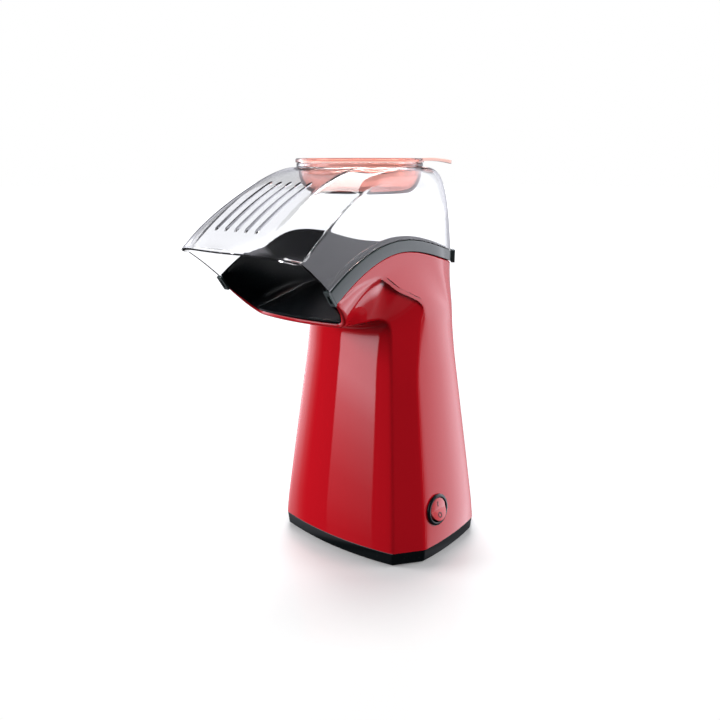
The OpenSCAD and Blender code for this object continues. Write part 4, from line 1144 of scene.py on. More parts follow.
class Copies(Recipe):
    """Places copies of one mesh at points, each with its own turn."""

    def __init__(self) -> None:
        """Builds the tree once."""
        super().__init__("placed_copies", {"Copy": "Object", "Size": "Float"})
        copy = self.g.add("GeometryNodeObjectInfo", {"Object": self.start.outputs["Copy"]})
        turn = self.g.add("GeometryNodeInputNamedAttribute", {"Name": "turn"}, data_type="FLOAT_VECTOR")
        spread = self.g.add("GeometryNodeInstanceOnPoints", {
            "Points": self.start.outputs["Geometry"], "Instance": copy.outputs["Geometry"],
            "Rotation": turn.outputs["Attribute"], "Scale": self.start.outputs["Size"]})
        self.close(spread.outputs["Instances"])

    def spread(self, name: str, copy: Piece, spots: Sequence[Vector], slot: Slot,
               turns: Sequence[float] = ()) -> Piece:
        """Makes one mesh with a copy at each spot and removes the copied object.

        Args:
            name: Name of the piece.
            copy: The object to copy, made round the body's axis at the floor.
            spots: Place of each copy, in millimetres from the body's axis.
            slot: Slot whose finish the copies take.
            turns: Turn of each copy about +Z, in radians; none is turned without it.

        Returns:
            The object that holds all copies.
        """
        copy.data.transform(Matrix.Translation(-AXIS))
        mesh = bpy.data.meshes.new(name)
        mesh.from_pydata([place(p) for p in spots], [], [])
        vectors = mesh.attributes.new("turn", "FLOAT_VECTOR", "POINT")
        vectors.data.foreach_set("vector", [c for turn in turns or [0] * len(spots) for c in (0, 0, turn)])
        obj = linked(name, mesh)
        self.bake(obj, {"Copy": copy, "Size": 1.0, "Finish": PAINTS.get(slot)})
        bpy.data.objects.remove(copy)
        return obj


COPIES = Copies()


class WoundRings(Recipe):
    """Coiled wire bent into rings."""

    # Points along a ring, and sides of the wire
    POINTS = 1900
    SIDES = 6
    # Distance between two turns of the coil, in radii of the wire
    PITCH = 2.6

    def __init__(self) -> None:
        """Builds the tree once."""
        super().__init__("wound_ring", {key: "Float" for key in ("Radius", "Turns", "Coil", "Wire")})
        g, start = self.g, self.start
        ring = g.add("GeometryNodeMeshCircle", {"Vertices": self.POINTS, "Radius": 1.0})
        where = g.add("ShaderNodeSeparateXYZ", {0: g.add("GeometryNodeInputPosition").outputs[0]})
        angle = g.math("ARCTAN2", where.outputs[1], where.outputs[0])
        phase = g.math("MULTIPLY", angle, start.outputs["Turns"])
        wave = g.math("MULTIPLY", g.math("COSINE", phase), start.outputs["Coil"])
        reach = g.math("ADD", start.outputs["Radius"], wave)
        spot = g.add("ShaderNodeCombineXYZ", {
            0: g.math("MULTIPLY", where.outputs[0], reach),
            1: g.math("MULTIPLY", where.outputs[1], reach),
            2: g.math("MULTIPLY", g.math("SINE", phase), start.outputs["Coil"])})
        bent = g.add("GeometryNodeSetPosition", {"Geometry": ring.outputs[0], "Position": spot.outputs[0]})
        line = g.add("GeometryNodeMeshToCurve", {"Mesh": bent.outputs[0]})
        wire = g.add("GeometryNodeCurvePrimitiveCircle", {
            "Resolution": self.SIDES, "Radius": start.outputs["Wire"]})
        tube = g.add("GeometryNodeCurveToMesh", {
            "Curve": line.outputs[0], "Profile Curve": wire.outputs[0]})
        self.close(tube.outputs[0])

    def ring(self, radius: float, height: float, coil: float, wire: float) -> Piece:
        """Returns a level ring of wire wound with the radius coil; all lengths are in millimetres."""
        obj = linked("ring", bpy.data.meshes.new("ring"))
        turns = round(2 * pi * radius / (self.PITCH * wire))
        self.bake(obj, {"Radius": radius * MM, "Turns": float(turns), "Coil": coil * MM, "Wire": wire * MM,
                        "Finish": PAINTS.get(Slot.WIRE)})
        obj.data.transform(Matrix.Translation(AXIS + Vector((0, 0, height * MM))))
        face_outwards(obj)
        return obj


def joined(name: str, objects: Sequence[Piece]) -> Piece:
    """Joins several meshes into one object without merging their points."""
    bm = bmesh.new()
    for obj in objects:
        bm.from_mesh(obj.data)
    mesh = bpy.data.meshes.new(name)
    bm.to_mesh(mesh)
    bm.free()
    mesh.polygons.foreach_set("use_smooth", [True] * len(mesh.polygons))
    for obj in objects:
        bpy.data.objects.remove(obj)
    return linked(name, mesh)


# ---- the body's pieces ----
# Turns axes whose X points outwards so that their Z does
OUT_OF_X = Matrix.Rotation(pi / 2, 4, "Y")


def spaced(marks: Sequence[float], counts: Sequence[int], creases: Sequence[float] = (),
           near: float = 0.16) -> list[float]:
    """Spaces numbers between marks, with an extra pair close to each crease.

    Args:
        marks: Limits of the stretches.
        counts: Number of steps in each stretch.
        creases: Marks that get a value close on each side.
        near: Distance of the close values from their crease.

    Returns:
        The sorted numbers, with both ends.
    """
    out = set()
    for (a, b), n in zip(zip(marks, marks[1:]), counts):
        out |= {mix(a, b, i / n) for i in range(n)}
    out.add(marks[-1])
    for c in creases:
        out |= {c - near, c + near}
    return sorted(out)


@dataclass
class Housing:
    """The red body shell with the spout's outer skin.

    The columns follow the places k of the body's form, with `column_steps` between its creases.
    """

    rows_low: int = 30
    rows_high: int = 40
    column_steps: tuple[int, ...] = (18, 12, 6, 24, 9, 12)
    kink_rows: float = 4.25
    kink_share: float = 0.5
    kink_passes: int = 40
    crease_share: float = 0.62
    beside_share: float = 0.25
    crease_passes: int = 2
    boss_r: float = 4.5
    boss_h: float = 16.0
    boss_hole: float = 1.6
    screw_head_r: float = 2.8
    bead: float = 1.25
    lip_lap: float = 1.5

    def columns(self) -> list[float]:
        """Returns the places round half the body, close together at the creases."""
        f = FORM
        return spaced((0, f.k_front, f.k_side, f.k_mouth, f.k_rcham, f.k_rear, f.k_end), self.column_steps,
                      (f.k_front, f.k_side, f.k_rcham, f.k_rear))

    def grid(self) -> Grid:
        """Returns the outer surface, row by row from the strip to the rim."""
        f, cols = FORM, self.columns()
        rows = [whole([f.section(k, mix(f.strip_h, f.neck_z, i / self.rows_low)) for k in cols])
                for i in range(self.rows_low)]
        rows += [whole([f.upper(k, i / self.rows_high) for k in cols]) for i in range(self.rows_high + 1)]

        def near_neck(r: int, c: int) -> float:
            """Returns how strongly a point is smoothed up and down."""
            return self.kink_share * (1 - smooth(abs(r - self.rows_low) / self.kink_rows))

        rows = relaxed(rows, near_neck, self.kink_passes, Way.UPWARDS)
        n = len(rows[0])
        half = len(cols) - 1
        marks = {i for i, k in enumerate(cols) if k in (f.k_front, f.k_side, f.k_rcham, f.k_rear)}
        marks |= {(2 * half - i) % n for i in marks}

        def at_crease(r: int, c: int) -> float:
            """Returns how strongly a point is smoothed round the body."""
            if c in marks:
                return self.crease_share
            return self.beside_share if (c - 1) % n in marks or (c + 1) % n in marks else 0.0

        return relaxed(rows, at_crease, self.crease_passes, Way.ROUND)

    def boss_spots(self) -> list[Vector]:
        """Returns the axes of the four screw bosses, which are the base screws' axes."""
        _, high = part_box("base_screws")
        return four((high[0] - AXIS.x) / MM - self.screw_head_r, (high[1] - AXIS.y) / MM - self.screw_head_r)

    def lapped(self, outer: Ring, inner: Ring) -> Ring:
        """Returns the rim's inner edge moved inwards at the lip, so that the lip laps over the liner."""
        f = FORM
        laps = [mix(self.lip_lap, 1, smooth((k - f.k_side) / (f.k_mouth - f.k_side))) for k in self.columns()]
        laps += laps[-2:0:-1]
        return [p + (q - p) * lap for p, q, lap in zip(outer, inner, laps)]

    def build(self) -> None:
        """Builds the shell with its holes and screw bosses."""
        f = FORM
        outer = self.grid()
        inner = moved(outer, -f.wall, passes=3)
        inner[-1] = self.lapped(outer[-1], inner[-1])
        obj = shell("body_shell", outer, inner, self.bead)
        hole = drill("hole", SWITCH.hole_r, 12, SWITCH.upright(), 72)
        bore = drill("bore", GROMMET.hole_r, 8, GROMMET.frame_of(), 48)
        cut(obj, [hole, bore])
        keep(creased(obj, 40), Body.BASE, Slot.RED, "housing")
        low, high = f.strip_h, f.strip_h + self.boss_h
        profile = rounded([(self.boss_hole, low, 0.3), (self.boss_r, low, 0.3), (self.boss_r, high, 0.5),
                           (self.boss_hole, high, 0.3)], 3)
        tubes = [lathe("boss", profile, Matrix.Translation(p), 40) for p in self.boss_spots()]
        keep(creased(joined("screw_bosses", tubes)), Body.BASE, Slot.RED)


@dataclass
class TrimBand:
    """The dark band between the body and the hood."""

    steps: int = 96
    edge: float = 0.8
    bits: int = 5

    def ring(self, q: float) -> Ring:
        """Returns the band's cross-section at q."""
        f = FORM
        y = f.plan(q)[1]
        high, low = f.band_height(y), f.seat * (1 + f.front_part(y))
        corners = rounded([(-f.wall, low, 0.2), (f.band_proud, low, 0.5),
                           (f.band_proud, high, self.edge), (-f.wall, high, 0.4)], self.bits)
        return [f.head_point(q, off, h) for off, h in corners]

    def build(self) -> None:
        """Builds the band as one bar from one corner of the mouth to the other."""
        half = [self.ring(i / self.steps) for i in range(self.steps + 1)]
        other = [[mirrored(p) for p in ring] for ring in reversed(half[:-1])]
        keep(creased(lofted("band", half + other), 40), Body.BASE, Slot.TRIM, "trim_band")


@dataclass
class Chute:
    """The black funnel from the chamber's collar to the lip.

    Each curve from the rim to the collar is led by two control points. `leave` and `leave_drop`
    are the first one's shares of the way, level and down, and `reach` and `reach_drop` the
    second one's: the first number is for the floor and the second for the sides.
    """

    wall: float = 2.0
    up: float = 2.5
    collar_rise: float = 12.2
    collar_in: float = 2.0
    plate_t: float = 2.5
    leave: Point2 = (0.33, 0.12)
    leave_drop: Point2 = (0.4, 0.5)
    reach: Point2 = (0.33, 0.5)
    reach_drop: Point2 = (0.05, 0.12)
    cheek_in: float = 2.4
    cheek_back: float = 3.0
    cheek_run: float = 4.0
    bead: float = 0.7
    recess: float = 1.5
    rows: int = 26
    column_steps: tuple[int, ...] = (18, 12, 6, 4, 45)
    soft_rows: float = 8.0
    soft_passes: int = 30

    def rim(self, k: float) -> Vector:
        """Returns point k of the funnel's upper edge, set back under the lip at the front."""
        f = FORM
        off = f.wall + f.seat
        if k <= f.k_front:
            return f.lip(f.lip_half * k / f.k_front, f.lip_z + off) + Vector((0, self.recess, 0))
        if k <= f.k_mouth:
            back = self.recess * (1 - smooth((k - f.k_side) / (f.k_mouth - f.k_side)))
            return f.corner(k, off) + Vector((0, back, 0))
        q = f.rim_q(max(k - 1, f.k_mouth))
        p = f.head_point(q, -off - f.seat, f.band_height(f.plan(q)[1]) + self.up)
        if k >= f.k_mouth + 1:
            return p
        return f.corner(f.k_mouth, off).lerp(p, k - f.k_mouth)

    def point(self, k: float, t: float) -> Vector:
        """Returns the point t of the way from the rim down to the collar, at place k."""
        f = FORM
        turn = radians(-90 + 180 * k / (f.k_end + 1))
        r = f.duct_r - self.collar_in
        a = self.rim(k)
        b = Vector((r * cos(turn), r * sin(turn),
                    f.lip_z + self.collar_rise + self.plate_t + f.seat / 3))
        d = b - a
        s = smooth((k - f.k_front) / (f.k_mouth - f.k_front))
        near, far = mix(*self.leave, s), mix(*self.reach, s)
        p = bezier(a, a + Vector((near * d.x, near * d.y, mix(*self.leave_drop, s) * d.z)),
                   b - Vector((far * d.x, far * d.y, mix(*self.reach_drop, s) * d.z)), b, t)
        cheek = s * (1 - smooth((k - f.k_mouth - self.cheek_back) / self.cheek_run))
        p.x -= self.cheek_in * cheek * sin(pi * t)
        return p

    def build(self) -> None:
        """Builds the funnel's wall."""
        f = FORM
        cols = spaced((0, f.k_front, f.k_side, f.k_mouth, f.k_mouth + 1, f.k_end + 1), self.column_steps)
        outer = [whole([self.point(k, 1 - i / self.rows) for k in cols]) for i in range(self.rows + 1)]

        def near_collar(r: int, c: int) -> float:
            """Returns how strongly a point is smoothed round the funnel."""
            return 0.5 * smooth((self.rows - r) / self.soft_rows)

        outer = relaxed(outer, near_collar, self.soft_passes, Way.ROUND)
        obj = shell("chute_funnel", outer, moved(outer, -self.wall, passes=4), self.bead)
        keep(creased(obj, 45), Body.BASE, Slot.BLACK, "chute")


@dataclass
class ClearHood:
    """The clear hood with its vent slots and the upstand round the cup.

    A place round half the hood is read by a number k: the bowed front edge runs up to `n_edge`,
    the sloping side edge up to `k_slope` and the band's edge up to `n_hood` at the rear centre.
    """

    height: float = 54.6
    reach: float = 158.2
    bow: float = 19.2
    flare: float = 1.2
    drop: float = 47.0
    wall: float = 2.0
    edge_fall: float = 5.4
    edge_power: float = 5.0
    panel_half: float = 30.0
    panel_back: float = 7.0
    panel_power: float = 1.52
    crease_y: float = -37.0
    crease_power: float = 1.68
    bend: float = 1.15
    bend_more: float = 0.7
    bend_y: float = -95.0
    bend_run: float = 45.0
    slope_bulge: Point3 = (0.0, -0.8, 1.2)
    edge_back: float = 1.5
    edge_up: float = 1.6
    shoulder_lead: float = 12.0
    shoulder_in: float = 1.0
    shoulder_y: float = -90.0
    shoulder_run: float = 60.0
    rear_draft: float = 11.0
    round_power: float = 2.4
    round_back: float = 2.0
    round_run: float = 4.0
    lift_reach: float = 4.0
    join_share: float = 0.1
    cup_y: float = 25.8
    cup_r: float = 43.3
    ring_gap: float = 1.6
    upstand: float = 2.7
    upstand_t: float = 0.85
    fillet: float = 0.75
    slot_pitch: float = 8.8
    slot_w: float = 2.4
    slot_len: float = 48.0
    slot_back: float = 16.0
    slots: int = 5
    slot_steps: int = 12
    n_edge: int = 9
    k_slope: int = 14
    n_hood: int = 30
    column_steps: tuple[int, ...] = (30, 16, 52)
    column_near: float = 0.1
    wall_rows: int = 12
    wall_last: float = 0.96
    top_rows: int = 34
    top_power: float = 1.35

    def __post_init__(self) -> None:
        """Works out the levels that follow from the sizes."""
        self.top = FORM.arch_top + self.height
        self.edge_z = self.top - self.drop
        self.corner_y = self.bow - self.reach
        self.ring_r = self.cup_r + self.ring_gap

    def centre_z(self, y: float) -> float:
        """Returns the height of the hood's middle line at y."""
        flat = -self.cup_y - self.cup_r + self.panel_back
        if y > flat:
            return self.top
        return self.top - self.drop * ((flat - y) / (self.reach + flat)) ** self.panel_power

    def forward(self, y: float) -> float:
        """Returns the share of the way from the side crease's rear end to the front corner at y."""
        return max(0.0, (self.crease_y - y) / (self.crease_y - self.corner_y))

    def crease_z(self, y: float) -> float:
        """Returns the height of the hood's side crease at y."""
        return self.top - (self.drop + self.edge_fall) * self.forward(y) ** self.crease_power

    def half_at(self, y: float) -> float:
        """Returns the hood's half width at y, which flares forwards."""
        return FORM.head_half + self.flare * self.forward(y)

    def z_at(self, x: float, y: float) -> float:
        """Returns the height of the top surface: a flat panel and falling shoulders."""
        zc = self.centre_z(y)
        t = max(0.0, (abs(x) - self.panel_half) / (FORM.head_half - self.panel_half))
        power = self.bend + self.bend_more * smooth((self.bend_y - y) / self.bend_run)
        return zc - (zc - self.crease_z(y)) * t ** power

    def edge(self, degrees: float) -> Vector:
        """Returns a point of the bowed front edge."""
        a = radians(degrees)
        return Vector(((FORM.head_half + self.flare) * sin(a),
                       self.corner_y - self.bow * cos(a),
                       self.edge_z - self.edge_fall * max(0.0, sin(a)) ** self.edge_power))

    def on_band(self, q: float) -> Vector:
        """Returns the point of the hood's lower edge on the band, at q."""
        f = FORM
        return f.head_point(q, 0, f.band_height(f.plan(q)[1]) + 2 * f.seat)

    def low(self, k: float) -> Vector:
        """Returns point k of the hood's lower edge."""
        if k <= self.n_edge:
            return self.edge(90 * k / self.n_edge)
        if k < self.k_slope:
            t = (k - self.n_edge) / (self.k_slope - self.n_edge)
            return self.edge(90).lerp(self.on_band(0), t) + Vector(self.slope_bulge) * sin(pi * t)
        return self.on_band((k - self.k_slope) / (self.n_hood - self.k_slope))

    def shoulder(self, k: float) -> Vector:
        """Returns the point where the side wall meets the top, at place k."""
        f = FORM
        if k <= self.n_edge:
            return self.low(k) + Vector((0, self.edge_back, self.edge_up))
        lead = f.mouth_y - self.shoulder_lead
        if k <= self.k_slope:
            y = mix(self.corner_y + self.edge_back, lead, (k - self.n_edge) / (self.k_slope - self.n_edge))
            return Vector((self.half_at(y), y, self.crease_z(y)))
        q = (k - self.k_slope) / (self.n_hood - self.k_slope)
        if q < f.plan_split:
            y = mix(lead, f.head_y0, q / f.plan_split)
            narrow = self.shoulder_in * smooth((y - self.shoulder_y) / self.shoulder_run)
            return Vector((self.half_at(y) - narrow, y, self.crease_z(y)))
        return Vector((*f.round_rear(q, -self.shoulder_in, -self.rear_draft), self.top))

    def on_ring(self, k: float) -> Vector:
        """Returns the point of the upstand's foot that faces the shoulder's point k."""
        s = self.shoulder(k)
        a = atan2(s.y + self.cup_y, s.x)
        return Vector((self.ring_r * cos(a), -self.cup_y + self.ring_r * sin(a), self.top))

    def point(self, k: float, u: float, w: float) -> Vector:
        """Returns the point a share u up the side wall and w on to the upstand, at place k."""
        low, s, c = self.low(k), self.shoulder(k), self.on_ring(k)
        tau = 0.5 * u + 0.5 * w
        if w <= 0:
            sharp = low.lerp(s, u)
        else:
            flat = s.lerp(c, w)
            lift = (self.z_at(s.x, s.y) - s.z) * exp(-w * (c - s).length / self.lift_reach)
            sharp = Vector((flat.x, flat.y, self.z_at(flat.x, flat.y) - lift))
            sharp = sharp.lerp(c, smooth((w - 1 + self.join_share) / self.join_share))
        soft = low + (s - low) * (1 - (1 - tau) ** self.round_power) + (c - s) * tau ** self.round_power
        return sharp.lerp(soft, smooth((k - self.k_slope - self.round_back) / self.round_run))

    def grid(self) -> Grid:
        """Returns the outer surface from the lower edge to the upstand's foot."""
        cols = spaced((0, self.n_edge, self.k_slope, self.n_hood), self.column_steps, (self.n_edge,),
                      self.column_near)
        levels = [(i / self.wall_rows, 0.0) for i in range(self.wall_rows)] + [(self.wall_last, 0.0)]
        shoulder_row = len(levels)
        levels += [(1.0, (i / self.top_rows) ** self.top_power) for i in range(self.top_rows + 1)]
        rows = [whole([self.point(k, u, w) for k in cols]) for u, w in levels]

        def at_shoulder(r: int, c: int) -> float:
            """Returns how strongly a point near the shoulder is smoothed."""
            return 0.5 if abs(r - shoulder_row) <= 1 else 0.0

        return relaxed(rows, at_shoulder, 2, Way.UPWARDS)

    def upstand_levels(self) -> tuple[list[Point2], list[Point2]]:
        """Returns radius and height of the rings outside and inside the upstand, upwards."""
        tube, r = self.cup_r + self.upstand_t, self.cup_r
        foot, head, under = self.top, self.top + self.upstand, self.top - self.wall
        outside = [(self.ring_r - (self.ring_r - tube) * sin(w), foot + self.fillet * (1 - cos(w)))
                   for w in (radians(a) for a in (30, 60, 90))]
        outside += [(tube, foot + 1.4), (tube, head - 0.5), (tube - 0.1, head - 0.15), (tube - 0.3, head)]
        inside = [(r + 0.5, under), (r + 0.1, under + 0.15), (r, under + 0.6), (r, foot - 0.5),
                  (r, foot + 0.8), (r, head - 0.5), (r + 0.1, head - 0.15), (r + 0.3, head)]
        return outside, inside

    def slot_tool(self) -> Piece:
        """Returns the bar that cuts one vent slot, round at both ends."""
        profile = []
        for side in (-1, 1):
            for i in range(self.slot_steps + 1):
                a = pi * i / self.slot_steps
                y = side * ((self.slot_len - self.slot_w) / 2 + self.slot_w / 2 * sin(a))
                profile.append(Vector((-side * self.slot_w / 2 * cos(a), y, 0)))
        return lofted("slot", [[p + Vector((0, 0, z)) for p in profile] for z in (-40, 40)])

    def build(self) -> None:
        """Builds the hood, its upstand and its vent slots."""
        outer = self.grid()
        inner = moved(outer, -self.wall, passes=4, level=False)
        last, cup = outer[-1], Vector((0, -self.cup_y, 0))

        def ring(r: float, z: float) -> Ring:
            """Returns a circle with one point in the direction of each column."""
            ways = [Vector((p.x - cup.x, p.y - cup.y, 0)).normalized() for p in last]
            return [cup + way * r + Vector((0, 0, z)) for way in ways]

        outside, inside = self.upstand_levels()
        outer += [ring(r, z) for r, z in outside]
        inner = inner[:-1] + [ring(r, z) for r, z in inside]
        obj = shell("hood_shell", outer, inner)
        y = -self.reach + self.slot_back + self.slot_len / 2
        spots = [Vector(((i - (self.slots - 1) / 2) * self.slot_pitch, y, self.edge_z + 20))
                 for i in range(self.slots)]
        cut(obj, [COPIES.spread("slots", self.slot_tool(), spots, Slot.CLEAR)])
        keep(creased(obj, 38), Body.HOOD, Slot.CLEAR, "clear_hood")


@dataclass
class MeasuringCup:
    """The measuring cup that hangs in the hood, with its thumb tab."""

    wall: float = 1.6
    gap: float = 0.4
    depth: float = 23.4
    floor_r: float = 32.0
    curve_steps: int = 18
    rim_t: float = 2.8
    rim_lap: float = 1.5
    tab_len: float = 20.0
    tab_w: float = 22.0
    tab_end: float = 7.0
    tab_t: float = 2.2
    tab_bend: float = 60.0
    tab_turn: float = 39.0
    tab_root: float = 2.0
    tab_sink: float = 1.2
    tab_crest: Point2 = (5.0, 0.6)
    tab_rows: int = 26
    tab_cols: int = 16
    tab_edge: float = 0.7

    def __post_init__(self) -> None:
        """Works out the rim's levels and radii."""
        self.rim_z = HOOD.top + HOOD.upstand + FORM.seat
        self.top = self.rim_z + self.rim_t
        self.rim_r = HOOD.cup_r + self.rim_lap
        self.spot = Matrix.Translation((0, -HOOD.cup_y, 0))

    def curve(self, r0: float, r1: float, z0: float, z1: float) -> list[Point2]:
        """Returns a quarter curve from the floor to the wall."""
        turns = [radians(90 * i / self.curve_steps) for i in range(self.curve_steps + 1)]
        return [(r0 + (r1 - r0) * sin(a), z1 - (z1 - z0) * cos(a)) for a in turns]

    def profile(self) -> list[Point2]:
        """Returns the cup's cross-section, from the axis underneath to the axis inside."""
        bowl, low = HOOD.cup_r - self.gap, self.top - self.depth
        well, floor = bowl - self.wall, low + self.wall
        out = [(0.0, low)] + self.curve(self.floor_r, bowl, low, HOOD.top)
        out += [(bowl, self.rim_z - 0.4), (bowl + 0.4, self.rim_z)]
        out += rounded([(bowl, self.rim_z, 0), (self.rim_r, self.rim_z, 0.7), (self.rim_r, self.top, 1.1),
                        (well, self.top, 0.8), (well, self.top - 4, 0)], 6)[1:-1]
        inner = self.curve(self.floor_r - 0.4 * self.wall, well, floor, HOOD.top)
        return out + inner[::-1] + [(0.0, floor)]

    def tab(self) -> Piece:
        """Returns the curved thumb tab, a sheet bent about a level axis with rounded corners."""
        turn = Matrix.Rotation(radians(self.tab_turn), 3, "Z")
        base = Vector((self.rim_r - self.tab_sink, 0, self.top))
        crest_x, crest_z = self.tab_crest
        rings = []
        for i in range(self.tab_rows + 1):
            u = mix(-self.tab_root, self.tab_len, 1 - (1 - i / self.tab_rows) ** 1.8)
            past = max(0.0, u - (self.tab_len - self.tab_end))
            half = self.tab_w / 2 - (self.tab_end - sqrt(max(0.0, self.tab_end ** 2 - past ** 2)))
            lines = []
            for r in (self.tab_bend, self.tab_bend - self.tab_t):
                z = crest_z - self.tab_bend + sqrt(r * r - (u - crest_x) ** 2)
                line = []
                for j in range(self.tab_cols + 1):
                    v = mix(-half, half, 0.5 - 0.5 * cos(pi * j / self.tab_cols))
                    line.append(self.spot.to_translation() + turn @ (base + Vector((u, v, z))))
                lines.append(line)
            rings.append(lines[0] + lines[1][::-1])
        return softened(lofted("tab", rings), self.tab_edge, 50, 3)

    def build(self) -> None:
        """Builds the cup and its tab as one piece."""
        bowl = lathe("cup", self.profile(), self.spot, 160)
        cut(bowl, [self.tab()], join=True)
        keep(creased(bowl, 40), Body.CUP, Slot.CUP, "measuring_cup")


@dataclass
class BaseTray:
    """The black base: the strip that shows, its floor, vents, feet pockets and posts."""

    inset: float = 2.4
    foot_h: float = 0.8
    foot_r: float = 7.0
    foot_gap: float = 0.1
    foot_sink: float = 1.0
    floor_t: float = 2.5
    lip_h: float = 4.0
    vents: int = 9
    vent_pitch: float = 6.0
    vent_w: float = 2.6
    vent_len: float = 22.0
    recess_r: float = 3.1
    recess_h: float = 3.0
    shank_r: float = 1.6
    boss_room: tuple[Point2, Point2] = ((-5, 12), (-5, 5))
    post_r: float = 4.2
    post_bore: float = 1.2
    post_share: float = 0.8
    post_screw: float = 12.0
    duct_t: float = 3.5
    stud_r: float = 4.5
    sink: float = 0.5

    def __post_init__(self) -> None:
        """Works out the heights of the lip's top and of the floor's upper face."""
        self.top = FORM.strip_h + self.lip_h
        self.base = self.foot_h + self.floor_t

    def outline(self, z: float, inwards: float, height: float) -> Ring:
        """Returns the body's section at z, moved inwards, laid at a height."""
        ring = whole([FORM.section(k, z) for k in HOUSING.columns()])
        n = len(ring)
        way = []
        for c in range(n):
            t = ring[(c + 1) % n] - ring[c - 1]
            way.append(Vector((t.y, -t.x, 0)).normalized())
        for _ in range(2):
            way = [(way[c] * 2 + way[c - 1] + way[(c + 1) % n]).normalized() for c in range(n)]
        out = [p - w * inwards for p, w in zip(ring, way)]
        return [Vector((p.x, p.y, height)) for p in out]

    def tray(self) -> Piece:
        """Returns the tray without its holes, from the floor's edge up to the lip and down inside."""
        z, foot, inset, top, base = FORM.strip_h, self.foot_h, self.inset, self.top, self.base
        strip = [(inset + 1.2, foot), (inset + 0.5, foot + 0.15), (inset, foot + 0.7),
                 (inset - 0.9, foot + 1.4), (0.5, z - 1.0), (0.1, z - 0.45), (0.35, z)]
        under, side = FORM.wall + FORM.seat, self.inset + FORM.wall + 0.1
        lip = [(under, z + 0.02), (under, top - 0.3), (under + 0.3, top), (side, top), (side, base + 0.6),
               (side + 0.7, base)]
        rings = [self.outline(z, inwards, height) for inwards, height in strip]
        rings += [self.outline(top, inwards, height) for inwards, height in lip]
        return lofted("base_tray", rings)

    def hole_tools(self) -> list[Piece]:
        """Returns what is cut out of the tray: vents, screw recesses, feet pockets, room for bosses."""
        low = (-self.vent_w / 2, -self.vent_len / 2, -3)
        slot = block("vent", low, tuple(-v for v in low), Matrix.Identity(4))
        spots = [Vector(((i - (self.vents - 1) / 2) * self.vent_pitch, 0, self.base - 1.2))
                 for i in range(self.vents)]
        tools = [COPIES.spread("vents", slot, spots, Slot.BLACK_GLOSS)]
        _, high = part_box("rubber_feet")
        feet = four((high[0] - AXIS.x) / MM - self.foot_r, (high[1] - AXIS.y) / MM - self.foot_r)
        head = self.foot_h + self.recess_h
        recess = [(0, -1), (self.recess_r, -1), (self.recess_r, head), (self.shank_r, head),
                  (self.shank_r, 9), (0, 9)]
        pocket_r, pocket_top = self.foot_r + self.foot_gap, self.foot_h + self.foot_sink
        pocket = [(0, -1), (pocket_r, -1), (pocket_r, pocket_top), (0, pocket_top)]
        (x0, x1), (y0, y1) = self.boss_room
        for screw, foot in zip(HOUSING.boss_spots(), feet):
            tools.append(lathe("recess", recess, Matrix.Translation(screw), 40))
            tools.append(lathe("pocket", pocket, Matrix.Translation(foot), 48))
            turn = atan2(copysign(1, screw.y), copysign(1, screw.x))
            arm = Matrix.Translation(screw) @ Matrix.Rotation(turn, 4, "Z")
            tools.append(block("room", (x0, y0, FORM.strip_h + 0.05), (x1, y1, self.top + 1), arm))
        return tools

    def build(self) -> None:
        """Builds the tray with its holes, and the posts and studs that stand on it."""
        obj = cut(self.tray(), self.hole_tools())
        keep(creased(obj, 35), Body.BASE, Slot.BLACK_GLOSS, "base_cover")
        duct_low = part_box("fan_duct")[0][2] / MM
        foot, deep = self.base - self.sink, duct_low - self.post_screw
        post = rounded([(self.post_bore, deep, 0.2), (self.post_bore, duct_low, 0.2),
                        (self.post_r, duct_low, 0.4), (self.post_r, foot, 0), (0, foot, 0), (0, deep, 0)], 3)
        at = self.post_share * (FORM.duct_r + self.duct_t)
        made = [lathe("post", post, Matrix.Translation(p), 40) for p in four(at, at)]
        head = FORM.strip_h - FORM.seat
        stud = rounded([(self.shank_r, foot, 0), (self.stud_r, foot, 0), (self.stud_r, head, 0.4),
                        (self.shank_r, head, 0.2)], 3)
        made += [lathe("stud", stud, Matrix.Translation(p), 40) for p in HOUSING.boss_spots()]
        keep(creased(joined("base_posts", made)), Body.BASE, Slot.BLACK)


